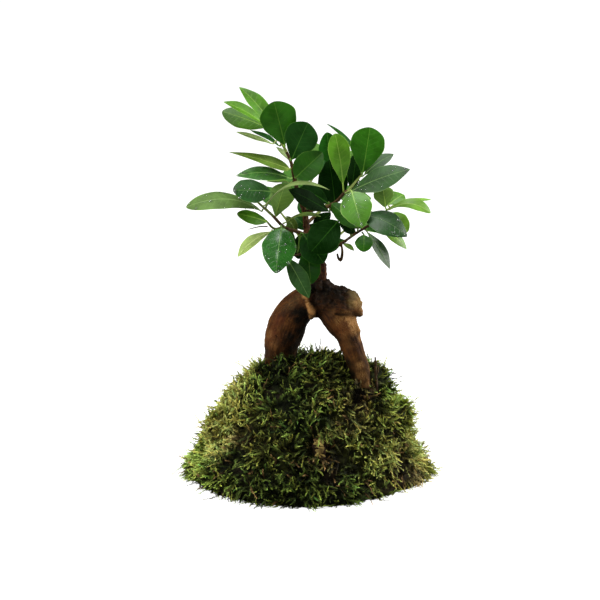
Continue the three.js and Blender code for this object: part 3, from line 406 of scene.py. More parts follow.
# ---------------------------------------------------------------- node helpers
class Mat:
    def __init__(self, name):
        self.m = bpy.data.materials.new(name)
        self.m.use_nodes = True
        self.t = self.m.node_tree
        self.t.nodes.clear()
        self.out = self.t.nodes.new("ShaderNodeOutputMaterial")
        self.b = self.t.nodes.new("ShaderNodeBsdfPrincipled")
        self.t.links.new(self.b.outputs[0], self.out.inputs[0])

    def link(self, a, b):
        self.t.links.new(a, b)

    def attr(self, name, out="Fac"):
        n = self.t.nodes.new("ShaderNodeAttribute")
        n.attribute_name = name
        return n.outputs[out]

    def coords(self):
        return self.t.nodes.new("ShaderNodeTexCoord").outputs["Object"]

    def noise(self, vec, scale, detail=4.0, rough=0.55, dist=0.0):
        n = self.t.nodes.new("ShaderNodeTexNoise")
        n.inputs["Scale"].default_value = scale
        n.inputs["Detail"].default_value = detail
        n.inputs["Roughness"].default_value = rough
        n.inputs["Distortion"].default_value = dist
        if vec is not None:
            self.link(vec, n.inputs["Vector"])
        return n.outputs["Fac"]

    def voronoi(self, vec, scale, feature="F1", out="Distance"):
        n = self.t.nodes.new("ShaderNodeTexVoronoi")
        n.feature = feature
        n.inputs["Scale"].default_value = scale
        if vec is not None:
            self.link(vec, n.inputs["Vector"])
        return n.outputs[out]

    def scaled(self, vec, s):
        n = self.t.nodes.new("ShaderNodeMapping")
        n.inputs["Scale"].default_value = s
        self.link(vec, n.inputs["Vector"])
        return n.outputs["Vector"]

    def ramp(self, fac, stops):
        n = self.t.nodes.new("ShaderNodeValToRGB")
        e = n.color_ramp.elements
        e[0].position, e[0].color = stops[0][0], (*stops[0][1], 1)
        e[1].position, e[1].color = stops[-1][0], (*stops[-1][1], 1)
        for p, c in stops[1:-1]:
            x = e.new(p)
            x.color = (*c, 1)
        self.link(fac, n.inputs[0])
        return n.outputs["Color"]

    def span(self, x, a, b, lo=0.0, hi=1.0, smooth=True):
        n = self.t.nodes.new("ShaderNodeMapRange")
        n.interpolation_type = "SMOOTHSTEP" if smooth else "LINEAR"
        self.link(x, n.inputs["Value"])
        n.inputs["From Min"].default_value = a
        n.inputs["From Max"].default_value = b
        n.inputs["To Min"].default_value = lo
        n.inputs["To Max"].default_value = hi
        return n.outputs["Result"]

    def math(self, op, a, b=None, c=None):
        n = self.t.nodes.new("ShaderNodeMath")
        n.operation = op
        for k, x in enumerate((a, b, c)):
            if x is None:
                continue
            if isinstance(x, (int, float)):
                n.inputs[k].default_value = x
            else:
                self.link(x, n.inputs[k])
        return n.outputs[0]

    def mix(self, fac, a, b, mode="MIX"):
        n = self.t.nodes.new("ShaderNodeMix")
        n.data_type = "RGBA"
        n.blend_type = mode
        n.clamp_factor = True
        for x, s in ((fac, n.inputs["Factor"]), (a, n.inputs[6]), (b, n.inputs[7])):
            if isinstance(x, (int, float)):
                s.default_value = x
            elif isinstance(x, tuple):
                s.default_value = (*x, 1)
            else:
                self.link(x, s)
        return n.outputs[2]

    def bump(self, height, strength, distance_mm, normal=None):
        n = self.t.nodes.new("ShaderNodeBump")
        n.inputs["Strength"].default_value = strength
        n.inputs["Distance"].default_value = distance_mm * 0.001
        self.link(height, n.inputs["Height"])
        if normal is not None:
            self.link(normal, n.inputs["Normal"])
        return n.outputs["Normal"]

    def base(self, c):
        if isinstance(c, tuple):
            self.b.inputs["Base Color"].default_value = (*c, 1)
        else:
            self.link(c, self.b.inputs["Base Color"])

    def put(self, **kw):
        names = dict(rough="Roughness", coat="Coat Weight", coat_rough="Coat Roughness", spec="Specular IOR Level",
                     normal="Normal", sheen="Sheen Weight", sheen_rough="Sheen Roughness", trans="Transmission Weight", ior="IOR",
                     sss="Subsurface Weight", sss_scale="Subsurface Scale")
        for k, x in kw.items():
            s = self.b.inputs[names[k]]
            if isinstance(x, (int, float)):
                s.default_value = x
            else:
                self.link(x, s)


# ---------------------------------------------------------------- floor
def build_floor():
    n = 48
    x = np.linspace(-3.0, 3.0, n)
    ys = np.concatenate([np.linspace(-3.2, 1.6, 24), 1.6 + 1.4 * np.sin(np.linspace(0.06, 1.0, 22) * np.pi / 2)])
    zs = np.concatenate([np.zeros(24), 1.4 * (1 - np.cos(np.linspace(0.06, 1.0, 22) * np.pi / 2))])
    ys = np.append(ys, ys[-1])
    zs = np.append(zs, 3.4)
    X, K = np.meshgrid(x, np.arange(len(ys)), indexing="ij")
    v = np.stack([X, ys[K], zs[K]], -1).reshape(-1, 3)
    m = len(ys)
    f = []
    for i in range(n - 1):
        for k in range(m - 1):
            a = i * m + k
            f.append([a, a + m, a + m + 1, a + 1])
    me = bpy.data.meshes.new("studio_floor")
    me.from_pydata(v.tolist(), [], f)
    me.polygons.foreach_set("use_smooth", [True] * len(f))
    ob = bpy.data.objects.new("studio_floor", me)
    bpy.context.scene.collection.objects.link(ob)
    M = Mat("studio_paper")
    M.base((0.30, 0.30, 0.30))
    M.put(rough=0.9, spec=0.0)
    M.b.inputs["Emission Color"].default_value = (1, 1, 1, 1)
    # the paper looks white, but sends little light back up at the plant
    seen = M.t.nodes.new("ShaderNodeLightPath")
    M.link(M.math("MULTIPLY", seen.outputs["Is Camera Ray"], FLOOR_GLOW), M.b.inputs["Emission Strength"])
    me.materials.append(M.m)


FLOOR_GLOW = 0.92
build_floor()


# ---------------------------------------------------------------- leaves
# look: upper face, vein and margin, under face (linear), roughness, coat, specular
LOOKS = {
    "fresh": (srgb(66, 116, 8), srgb(140, 176, 70), srgb(96, 132, 48), 0.44, 0.02, 0.20),
    "olive": (srgb(70, 96, 22), srgb(136, 156, 72), srgb(98, 122, 52), 0.46, 0.02, 0.22),
    "mid": (srgb(34, 86, 2), srgb(92, 136, 46), srgb(70, 110, 36), 0.42, 0.02, 0.13),
    "dark": (srgb(14, 60, 2), srgb(64, 110, 34), srgb(52, 92, 28), 0.42, 0.02, 0.09),
    # greyolive, grey, darkgrey and greylight are greyer than plain leaf green: partly a waxy bloom, partly painted
    # sheen; greylight is matt, and its pale base colour stands in for its sheen
    "greyolive": (srgb(96, 116, 60), srgb(156, 172, 110), srgb(118, 138, 84), 0.46, 0.03, 0.30),
    "grey": (srgb(36, 72, 22), srgb(104, 136, 72), srgb(80, 110, 54), 0.44, 0.03, 0.20),
    "light": (srgb(92, 134, 34), srgb(164, 190, 98), srgb(116, 150, 66), 0.42, 0.04, 0.22),
    "lime": (srgb(72, 120, 18), srgb(142, 178, 74), srgb(98, 136, 50), 0.40, 0.04, 0.22),
    "darkgrey": (srgb(24, 66, 14), srgb(84, 120, 56), srgb(62, 98, 42), 0.40, 0.04, 0.22),
    "bright": (srgb(74, 126, 30), srgb(158, 192, 98), srgb(110, 148, 62), 0.38, 0.06, 0.26),
    "greylight": (srgb(84, 114, 50), srgb(142, 170, 104), srgb(98, 126, 66), 0.62, 0.00, 0.12),
    "pale": (srgb(104, 144, 52), srgb(168, 196, 108), srgb(130, 160, 80), 0.46, 0.02, 0.22),
    # vdark is a near-black green: painted shade for leaves lying deep in and under the crown
    "vdark": (srgb(7, 38, 1), srgb(42, 84, 22), srgb(36, 72, 20), 0.60, 0.00, 0.02),
    "blue": (srgb(4, 26, 8), srgb(36, 74, 34), srgb(32, 64, 30), 0.46, 0.01, 0.05),
    "gloss": (srgb(30, 84, 16), srgb(104, 146, 72), srgb(76, 114, 48), 0.26, 0.30, 0.40),
    "green": (srgb(28, 84, 4), srgb(98, 138, 50), srgb(70, 110, 36), 0.42, 0.02, 0.12),
    "yellow": (srgb(136, 158, 82), srgb(196, 208, 142), srgb(156, 176, 110), 0.50, 0.02, 0.20),
}
# two leaves greener than their neighbours
RELOOK = {"leaf_24": "lime", "leaf_29": "lime"}
# brighter or darker than its look, leaf by leaf: partly the leaf's own tone, partly painted light; leaf_16 is painted
# much brighter for the grey sheen it catches, leaf_47 brighter for its glossy highlight
GAIN = {"leaf_01": 0.9, "leaf_02": 0.8, "leaf_03": 0.62, "leaf_04": 1.25, "leaf_06": 1.4, "leaf_09": 1.6, "leaf_10": 1.4, "leaf_11": 1.3,
        "leaf_12": 0.75, "leaf_13": 2.6, "leaf_15": 0.95, "leaf_16": 2.9, "leaf_17": 0.92, "leaf_20": 1.35, "leaf_21": 1.5, "leaf_24": 1.15,
        "leaf_25": 0.6, "leaf_27": 0.8, "leaf_28": 0.85, "leaf_29": 1.15, "leaf_30": 0.90, "leaf_31": 1.2, "leaf_32": 0.88, "leaf_36": 1.4,
        "leaf_39": 0.75, "leaf_40": 1.5, "leaf_41": 1.1, "leaf_46": 1.1, "leaf_47": 1.3, "leaf_49": 0.9, "leaf_53": 0.85, "leaf_54": 1.25}


def leaf_material(key):
    top, vein, under, rough, coat, spec = LOOKS[key]
    M = Mat("leaf_" + key)
    co = M.coords()
    lv = M.math("ABSOLUTE", M.attr("lv"))
    lt = M.attr("lt")
    side = M.attr("side")
    vary = M.attr("vary")
    cloud = M.noise(co, 95.0, 3.0, 0.5)
    fine = M.noise(co, 900.0, 3.0, 0.6)
    dk = tuple(c * 0.72 for c in top)
    lt_c = tuple(min(1.0, c * 1.28 + 0.004) for c in top)
    col = M.mix(M.span(cloud, 0.32, 0.70), dk, lt_c)
    col = M.mix(M.math("MULTIPLY", M.span(fine, 0.45, 0.75), 0.22), col, tuple(min(1, c * 1.5 + 0.006) for c in top))
    col = M.mix(M.math("MULTIPLY", vary, 0.30), col, tuple(c * 0.55 for c in top))
    # lateral veins, faint; midrib and margin, pale
    ph = M.math("FRACT", M.attr("veinphase"))
    line = M.math("MULTIPLY", M.span(M.math("ABSOLUTE", M.math("SUBTRACT", ph, 0.5)), 0.10, 0.02), M.span(lv, 0.97, 0.35))
    col = M.mix(M.math("MULTIPLY", line, 0.09), col, vein)
    mid_w = M.math("MULTIPLY", M.attr("ribwidth"), 1.0)
    rib = M.math("SUBTRACT", 1.0, M.math("DIVIDE", lv, mid_w))
    rib = M.span(rib, -0.15, 0.65)
    col = M.mix(M.math("MULTIPLY", rib, 0.62), col, vein)
    rim = M.span(lv, 0.945, 0.99)
    col = M.mix(M.math("MULTIPLY", rim, 0.62), col, vein)
    stalk_end = M.span(lt, 0.10, 0.0)
    col = M.mix(M.math("MULTIPLY", stalk_end, 0.45), col, vein)
    # under face: paler and matt
    ucol = M.mix(M.span(cloud, 0.3, 0.7), tuple(c * 0.86 for c in under), tuple(min(1, c * 1.12) for c in under))
    ucol = M.mix(M.math("MULTIPLY", line, 0.35), ucol, vein)
    ucol = M.mix(M.math("MULTIPLY", rib, 0.85), ucol, vein)
    isu = M.span(side, 0.30, 0.70)
    col = M.mix(isu, col, ucol)
    pet = M.span(side, 1.4, 1.6)
    pcol = M.mix(M.span(lt, 0.0, 0.7), tuple(0.55 * a + 0.45 * b for a, b in zip(vein, srgb(96, 96, 44))), vein)
    col = M.mix(pet, col, pcol)
    col = M.mix(1.0, col, M.attr("gain"), "MULTIPLY")
    M.base(col)
    r = M.math("ADD", M.math("MULTIPLY", fine, 0.14), rough - 0.07)
    r = M.math("ADD", r, M.math("MULTIPLY", isu, 0.16))
    M.put(rough=r, spec=spec, coat=coat, coat_rough=0.20)
    h = M.math("SUBTRACT", M.math("MULTIPLY", fine, 0.25), M.math("ADD", M.math("MULTIPLY", line, 0.9), M.math("MULTIPLY", rib, 1.2)))
    M.put(normal=M.bump(h, 0.35, 0.25))
    return M.m


LEAF_MATS = {}
drop_spots = []


def leaf_shape(S0, B, T, N, width, arch, fold, outline, seed, thick=0.24, nu=30, nv=16, pet_r=0.58):
    """Blade with two faces and petiole, one closed skin each. Returns verts, tris, attributes, uv."""
    rng = np.random.default_rng(seed)
    S0, B, T, N = (np.asarray(x, float) for x in (S0, B, T, N))
    N = unit(N)
    p, q = OUTLINES[outline]
    chord = T - B
    Ln = np.linalg.norm(chord)
    s = np.linspace(0, 1, nu + 1)
    t = 0.5 - 0.5 * np.cos(np.pi * s)
    half = width / 2 * np.sin(np.pi * np.clip(t, 0, 1) ** p) ** q
    # a narrow start that runs out of the petiole, and a small drawn-out point
    half = np.maximum(half, 0.0)
    half *= 1 + 0.02 * np.sin(2 * np.pi * (t * 3.1 + rng.random()))
    centre = B + chord * t[:, None] + N * (arch * 4 * t * (1 - t))[:, None]
    tang = unit(chord + N * (arch * 4 * (1 - 2 * t))[:, None])
    sd = unit(np.cross(N, tang))
    up = np.cross(tang, sd)
    th = math.radians(fold) * np.minimum(1, 5 * t)
    v = np.sin(np.linspace(-1, 1, nv + 1) * np.pi / 2)
    av = np.sqrt(v * v + 0.004) - math.sqrt(0.004)
    wav = 0.28 * np.sin(2 * np.pi * (1.3 * t[:, None] + rng.random()) + (v > 0)[None, :] * 1.9) * (np.abs(v) ** 2)[None, :] * min(1.0, width / 20)
    cup = rng.uniform(-0.02, 0.045) * half[:, None] * (v * v)[None, :]
    lat = half[:, None] * v[None, :] * np.cos(th)[:, None]
    lift = half[:, None] * av[None, :] * np.sin(th)[:, None] + wav + cup
    groove = -0.12 * np.exp(-(v[None, :] * half[:, None] / 0.55) ** 2) * np.sin(np.pi * np.clip(t * 1.05, 0, 1))[:, None]
    P = centre[:, None, :] + sd[:, None, :] * lat[..., None] + up[:, None, :] * lift[..., None]
    edge = np.sqrt(np.clip(1 - v ** 4, 0, 1))[None, :] * np.clip(np.sin(np.pi * t), 0, 1)[:, None] ** 0.35
    top = P + up[:, None, :] * (thick * edge + groove)[..., None]
    bot = P - up[:, None, :] * (thick * edge)[..., None]
    n1, n2 = nu + 1, nv + 1
    V = np.concatenate([top.reshape(-1, 3), bot.reshape(-1, 3)])
    tt = np.tile(np.repeat(t, n2), 2)
    vv = np.tile(np.tile(v, n1), 2)
    side = np.concatenate([np.zeros(n1 * n2), np.ones(n1 * n2)])
    hh = np.tile(np.repeat(half, n2), 2)
    i, k = np.meshgrid(np.arange(nu), np.arange(nv), indexing="ij")
    a = (i * n2 + k).ravel()
    tri_t = np.concatenate([np.stack([a, a + n2 + 1, a + 1], 1), np.stack([a, a + n2, a + n2 + 1], 1)])
    if np.dot(np.cross(top[5, 3] - top[5, 2], top[6, 2] - top[5, 2]), up[5]) > 0:
        tri_t = tri_t[:, [0, 2, 1]]
        flip = True
    else:
        flip = False
    # the test above looks at (side x along); make the top face look along +up
    f0 = tri_t[len(tri_t) // 4]
    nf = np.cross(V[f0[1]] - V[f0[0]], V[f0[2]] - V[f0[0]])
    if nf @ up[nu // 2] < 0:
        tri_t = tri_t[:, [0, 2, 1]]
    off = n1 * n2
    tri_b = tri_t[:, [0, 2, 1]] + off
    rim = []
    for kk, rev in ((0, False), (nv, True)):
        a0 = np.arange(nu) * n2 + kk
        a1 = a0 + n2
        quad = np.concatenate([np.stack([a0, a1, a1 + off], 1), np.stack([a0, a1 + off, a0 + off], 1)])
        rim.append(quad if rev else quad[:, [0, 2, 1]])
    tris = np.concatenate([tri_t, tri_b] + rim)
    # uv: upper face in the lower half of the map, under face above it
    uvp = np.concatenate([np.stack([tt[:off] * 0.94 + 0.03, (vv[:off] + 1) / 2 * 0.42 + 0.02], 1),
                          np.stack([tt[off:] * 0.94 + 0.03, (vv[off:] + 1) / 2 * 0.42 + 0.47], 1)])
    # petiole and the rib under the blade
    reach = np.linalg.norm(B - S0)
    P1 = S0 + (B - S0) * 0.35
    P2 = B - tang[0] * reach * 0.38
    uu = np.linspace(0, 1, 12)[:, None]
    bez = (1 - uu) ** 3 * S0 + 3 * (1 - uu) ** 2 * uu * P1 + 3 * (1 - uu) * uu * uu * P2 + uu ** 3 * B
    kk = np.searchsorted(t, np.linspace(0.03, 0.86, 12))
    ribl = centre[kk] - up[kk] * (0.16 + 0.10 * (1 - t[kk]))[:, None]
    rr = np.concatenate([np.linspace(1.12, 0.86, 12) * pet_r, np.linspace(0.80, 0.16, 12) * pet_r])
    line = np.concatenate([np.concatenate([bez, ribl]), rr[:, None]], 1)
    keep = np.concatenate([[True], np.linalg.norm(np.diff(line[:, :3], axis=0), axis=1) > 0.12])
    line = line[keep]
    tv, ttri, _ = tube_mesh(line, 8)
    m = len(line)
    tl = np.concatenate([np.repeat(np.linspace(0, 1, m), 8), [0, 1]])
    ang = np.concatenate([np.tile(np.arange(8) / 8.0, m), [0, 0]])
    V = np.concatenate([V, tv])
    tris = np.concatenate([tris, ttri + 2 * off])
    tt = np.concatenate([tt, tl])
    vv = np.concatenate([vv, np.full(len(tv), 0.5)])
    side = np.concatenate([side, np.full(len(tv), 2.0)])
    hh = np.concatenate([hh, np.full(len(tv), 1.0)])
    uvp = np.concatenate([uvp, np.stack([tl * 0.94 + 0.03, ang * 0.07 + 0.91], 1)])
    spacing = max(2.6, min(4.6, Ln / 9))
    att = dict(lt=tt, lv=vv, side=side, vary=np.full(len(V), rng.random()),
               veinphase=(tt * Ln - 0.62 * np.abs(vv) * hh) / spacing,
               ribwidth=np.clip(0.55 * (1.0 - 0.75 * tt) / np.maximum(hh, 0.6), 0.01, 0.9))
    return V, tris, att, uvp[tris], (top, up, t, v)


for row in LEAVES:
    nm, S0, B0, T0, N0, w0, a0, f0, shp, look, drops = row
    look = RELOOK.get(nm, look)
    if look not in LEAF_MATS:
        LEAF_MATS[look] = leaf_material(look)
    sd0 = int(nm[-2:])
    V, tr, att, uv, surf = leaf_shape(S0, B0, T0, N0, w0, a0, f0, shp, 100 + sd0)
    att["gain"] = np.full(len(V), GAIN.get(nm, 1.0))
    ob = make_piece("look_" + nm, V, tr, LEAF_MATS[look], True, att, uv)
    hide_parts(nm)
    if drops:
        drop_spots.append((sd0, surf, look))

# ---------------------------------------------------------------- water drops on some leaves
def build_drops():
    parts, uvs = [], []
    for sd0, (top, up, t, v), look in drop_spots:
        rng = np.random.default_rng(900 + sd0)
        count = {"gloss": 46, "bright": 40, "darkgrey": 34, "greylight": 30, "grey": 30}.get(look, 14)
        for _ in range(count):
            i = rng.integers(4, len(t) - 4)
            k = rng.integers(2, len(v) - 2)
            c = top[i, k] + (top[i + 1, k] - top[i, k]) * rng.random() + (top[i, k + 1] - top[i, k]) * rng.random()
            n = unit(np.cross(top[i + 1, k] - top[i, k], top[i, k + 1] - top[i, k]))
            if n @ up[i] < 0:
                n = -n
            r = rng.choice([0.34, 0.44, 0.56, 0.74, 1.0], p=[0.30, 0.28, 0.22, 0.14, 0.06])
            a = unit(np.cross(n, [0.2, 0.5, 0.8]))
            b = np.cross(n, a)
            el = rng.uniform(0.8, 1.25)
            rings = [c + n * (r * 0.62)]
            for fr, fh in ((0.45, 0.55), (0.8, 0.36), (1.0, 0.05), (0.9, -0.10)):
                ang = 2 * np.pi * np.arange(10) / 10
                rings.extend(c + r * fr * (np.outer(np.cos(ang), a) * el + np.outer(np.sin(ang), b)) + n * (r * fh))
            rings.append(c - n * (r * 0.12))
            V = np.array([np.asarray(x).ravel() for x in rings])
            tr = []
            for q in range(10):
                q2 = (q + 1) % 10
                tr.append([0, 1 + q, 1 + q2])
                for g in range(3):
                    x0, x1 = 1 + g * 10 + q, 1 + g * 10 + q2
                    tr += [[x0, x0 + 10, x1 + 10], [x0, x1 + 10, x1]]
                tr.append([41, 31 + q2, 31 + q])
            parts.append((V, np.array(tr)))
    V, T = join(parts)
    M = Mat("water_drop")
    M.base(M.mix(M.span(M.noise(M.coords(), 400.0), 0.3, 0.7), (0.90, 0.95, 0.90), (0.97, 1.0, 0.97)))
    M.put(rough=0.03, trans=0.92, ior=1.33, spec=0.6)
    ob = make_piece("look_water_drops", V, T, M.m, True)
    return ob


build_drops()


# ---------------------------------------------------------------- root: legs and head
def seg_sd(P, lines):
    """Signed distance (about) to round tubes given by [x, y, z, r] lines."""
    best = np.full(len(P), 1e9)
    for ln in lines:
        ln = np.asarray(ln, float)
        for a, b in zip(ln[:-1], ln[1:]):
            d = b[:3] - a[:3]
            t = np.clip(((P - a[:3]) @ d) / (d @ d), 0, 1)
            r = a[3] + (b[3] - a[3]) * t
            best = np.minimum(best, np.linalg.norm(P - a[:3] - t[:, None] * d, axis=1) - r)
    return best


def px_line(*rows):
    return [[*from_photo(u, v, y), r * 0.7] for u, v, y, r in rows]


def spots(P, rows, seed, cell=2.2, soft=0.35):
    """0..1 mask round photo-placed spots (u, v, y, radius px), with a ragged edge."""
    n = fbm(P / cell, seed, 3) - 0.5
    m = np.zeros(len(P))
    for u, v, y, r in rows:
        d = np.linalg.norm(P - from_photo(u, v, y), axis=1) / (r * 0.7)
        m = np.maximum(m, smoothstep(1 + soft, 1 - soft, d + 0.9 * n))
    return m


def build_root():
    lines = {k: catmull(v, 2.5) for k, v in ROOT.items()}
    extra = {
        "lip": px_line((347, 305, -7, 12.5), (355, 309.5, -8, 8.5), (360.2, 314.5, -8, 3.6), (361, 317.2, -8, 1.8)),
        "scar": px_line((303.8, 291, -8.0, 3.0), (305.2, 297, -9.6, 3.3), (308.0, 303, -11.2, 3.6), (311.0, 308.5, -12.3, 4.2), (312.2, 313, -11.4, 4.3), (310.6, 318.5, -8.2, 2.6)),
        "edge": px_line((349, 317, -9, 6.4), (352, 325, -10, 6.5), (356, 334, -11, 6)),
        "shoulder": px_line((318, 290, -4, 7.5), (330, 293, -5, 7.8), (342, 296.5, -5, 6.6), (350, 301.5, -5, 6.2)),
        "brow": px_line((334, 309, -15, 5), (343, 309.5, -14, 6), (350, 312, -11, 5)),
        "collar": px_line((313, 287.5, 0, 6), (316, 283.5, 0, 6.2), (319.5, 278, 0, 5.0)),
        "crust1": px_line((309, 291, -7, 3.0), (313, 286, -6, 3.4), (316, 281.5, -4, 2.4)),
        "crust2": px_line((318, 290, -11, 3.4), (320, 285, -8, 3.2), (320.5, 279.5, -5, 2.4)),
        "crust3": px_line((329, 289.5, -9, 3.4), (326, 285, -7, 3.0), (324.6, 280, -4, 2.0)),
        "crust4": px_line((333, 286.5, -3, 3.0), (328.5, 283.5, -2, 2.8), (326.2, 279.5, 0, 2.0)),
        "knob": px_line((324, 283.5, -4, 2.6), (327.4, 281.4, -3, 1.5)),
        "knob2": px_line((341, 289.5, -6, 3.6), (346, 289.8, -6, 3.0)),
    }
    parts = [tube_mesh(l, 28)[:2] for l in lines.values()]
    parts += [tube_mesh(catmull(l, 1.5), 18)[:2] for l in extra.values()]
    v, t = remesh(*join(parts), 0.8)
    e = edges_of(t)
    v = relax(v, e, 6)
    n = normals_of(v, t)
    # along and around the nearest leg, for the grain
    P = v
    best = np.full(len(P), 1e9)
    grain = np.zeros((len(P), 3))
    for key, ln in lines.items():
        s0 = 0.0
        ref = np.array([0.0, 1.0, 0.0])
        for a, b in zip(ln[:-1], ln[1:]):
            d = b[:3] - a[:3]
            L = np.linalg.norm(d)
            if L < 1e-6:
                continue
            w = np.clip(((P - a[:3]) @ d) / (d @ d), 0, 1)
            off = P - a[:3] - w[:, None] * d
            dist = np.linalg.norm(off, axis=1) - (a[3] + (b[3] - a[3]) * w)
            td = d / L
            ax = unit(np.cross(ref, td))
            ay = np.cross(td, ax)
            hit = dist < best
            best = np.where(hit, dist, best)
            g = np.stack([off @ ax, off @ ay, s0 + w * L], 1)
            grain[hit] = g[hit]
            s0 += L
    g1 = grain * np.array([1 / 2.4, 1 / 2.4, 1 / 16.0])
    g2 = grain * np.array([1 / 0.9, 1 / 0.9, 1 / 6.0])
    ridge = fbm(g1, 3, 3) - 0.5
    fine = fbm(g2, 17, 3) - 0.5
    lump = fbm(P / 9.0, 5, 3) - 0.5
    pores = smoothstep(0.62, 0.78, vnoise(P / 1.5, 41)) * smoothstep(0.35, 0.6, vnoise(P / 6.0, 44))
    top = smoothstep(118, 134, P[:, 2]) * smoothstep(-6, 4, P[:, 0])
    rough_top = (fbm(P / 1.8, 61, 3) - 0.5) * 2.0 * top
    band = np.sin(grain[:, 2] / 3.1 + 3 * vnoise(P / 7.0, 9)) * smoothstep(0.45, 0.7, vnoise(P / 8.0, 12))
    v = v + n * ((2.1 - 1.1 * smoothstep(110, 122, P[:, 2])) * lump + 0.95 * ridge + 0.45 * fine + 0.25 * pores + 1.5 * rough_top + 0.14 * band)[:, None]
    nx, ny, nz = n.T
    # dark: mostly painted shade, on the inside of the left leg below the head, down its middle and along its lower
    # inside, on the left side of the right leg's foot, under the brow and on faces turned down; partly the dark crust
    # on top of the head round the graft, a dark smudge on the right leg and worn places at the back
    dark = spots(P, [
        (312, 288, -8, 7), (318, 288, -8, 9), (327, 291, -12, 9.5), (337, 292, -10, 7), (345, 292, -8, 5),
        (316, 296, -14, 7.5), (324, 300, -18, 8), (332, 303, -18, 6), (336, 297, -17, 5), (342, 298, -14, 5),
        (302.5, 312, -8, 7.5), (299, 319, -6, 7), (305, 320, -5, 5), (296, 312, -10, 4),
        (297, 329, -3, 7), (294, 338, 0, 8), (290, 346, 0, 8.5), (286, 354, 2, 8),
        (347, 362, -16, 4.0), (351, 374, -18, 4.5), (354, 384, -18, 4.0),
    ], 71, 2.2, 0.60)
    dark = np.maximum(dark, 0.80 * smoothstep(129, 136, P[:, 2] + 4 * (fbm(P / 3, 73) - 0.5)) * smoothstep(-4, 5, P[:, 0]))
    # painted shade on the side of the left leg that faces the right leg
    inner = smoothstep(0.05, 0.75, nx) * smoothstep(8, -2, P[:, 0]) * smoothstep(126, 112, P[:, 2])
    dark = np.maximum(dark, 0.92 * inner * smoothstep(0.20, 0.50, fbm(P / 5, 77)))
    # painted shade on faces turned downwards, above about 100 mm
    under = smoothstep(0.0, -0.75, nz) * smoothstep(96, 104, P[:, 2])
    dark = np.maximum(dark, 0.75 * under)
    dark = np.maximum(dark, 0.62 * spots(P, [(353, 341, -16, 5.5), (356, 348, -15, 6.0), (359, 356, -15, 5.0), (355, 335, -13, 4.0)], 74, 3.0, 0.9))
    # painted shade down the middle of the left leg and under the brow
    dark = np.maximum(dark, 0.40 * spots(P, [(281, 330, -12, 8), (277, 344, -10, 7), (330, 312, -18, 6), (335, 319, -18, 4)], 75, 3.0, 0.9))
    # painted shadow along the lower inside of the left leg
    dark = np.maximum(dark, 0.95 * spots(P, [(291, 338, -8, 6), (288, 345, -10, 7.5), (284, 351, -12, 7.5), (292, 351, -8, 7), (279, 356, -13, 5)], 76, 3.0, 0.9))
    dark = np.maximum(dark, 0.92 * spots(P, [(318, 296, -13, 8), (325, 299, -15, 7.5), (332, 302, -16, 6), (322, 290, -10, 8), (314, 303, -12, 4.5), (337, 297, -13, 6)], 78, 2.0, 0.8))
    dark = np.maximum(dark, 0.45 * spots(P, [(343, 300, -14, 6), (346, 307, -14, 4)], 79, 2.5, 0.9))
    # some worn dark places on the side the photograph does not show
    back = smoothstep(4, 12, P[:, 1]) * smoothstep(0.54, 0.68, fbm(P / 9.0, 81, 3))
    dark = np.maximum(dark, 0.8 * back)
    pale = spots(P, [(304.6, 292, -12, 2.8), (305.4, 296, -12, 3.0), (306.8, 300, -14, 3.0), (308.6, 304, -14, 3.0), (310.6, 308, -15, 3.6), (311.9, 312, -14, 4.0), (311.4, 316, -11, 3.6), (310.0, 320, -8, 2.6)], 91, 1.3, 0.55)
    # tan: mostly painted highlight where the side lights fall, on the lip and right side of the head, the strip under
    # the lip, the right edge and foot of the right leg and the outer side of the left leg; the random tan patches
    # towards the back are the root's own bark
    tan = np.maximum(spots(P, [(345, 316, -17, 5), (350, 320, -16, 4), (355, 328, -14, 5), (352, 324, -14, 5), (357.5, 337, -12, 4), (330, 313, -18, 4), (338, 320, -18, 4)], 93, 1.6, 0.8),
                     spots(P, [(359, 300, -8, 4.5), (360.5, 308, -8, 5), (361, 315, -8, 4), (355, 303, -12, 4), (365, 356, -13, 3), (368, 368, -14, 3), (360, 366, -20, 4), (362, 376, -22, 5.5), (360, 386, -22, 5), (366, 383, -18, 4)], 94, 1.6, 0.8))
    tan = np.maximum(tan, 0.5 * spots(P, [(270, 322, -8, 5), (266.5, 335, -4, 5), (272, 345, -8, 6), (279, 309, -10, 5), (287, 300, -10, 5), (297, 294, -10, 5)], 98, 1.6, 0.9))
    tan = np.maximum(tan, 0.5 * spots(P, [(358, 304, -9, 6), (360, 312, -9, 5)], 97, 1.6, 0.8))
    tan = np.maximum(tan, 0.25 * spots(P, [(345, 334, -18, 6), (341, 326, -18, 5), (349, 344, -18, 5)], 89, 1.6, 0.8))
    tan = np.maximum(tan, spots(P, [(350, 318, -15, 5), (357, 318, -12, 4), (355, 330, -14, 6), (358, 338, -12, 4), (361, 350, -10, 4), (366, 362, -12, 4)], 96, 1.6, 0.8))
    tan = np.maximum(tan, 0.7 * smoothstep(0.52, 0.70, fbm(P / 6.0, 99, 3)) * smoothstep(-2, 6, P[:, 1]))
    tan = tan * (1 - 0.9 * dark)
    red = spots(P, [(360, 381, -26, 8), (358, 372, -24, 6), (341, 330, -18, 8), (270, 336, -4, 9), (276, 322, -8, 8)], 95, 4.0, 0.7)
    olive = spots(P, [(354, 297, -8, 6), (358, 302, -8, 6), (352, 303, -13, 5)], 88, 2.0, 0.8)
    olive = np.maximum(olive, 0.35 * spots(P, [(287, 304, -10, 6), (294, 299, -10, 5)], 87, 2.0, 0.8))
    # painted highlight on the pale strip under the lip
    pale = np.maximum(pale, 0.5 * spots(P, [(350, 318, -16, 4), (354, 322, -14, 4), (357, 330, -12, 3)], 86, 1.6, 0.8))
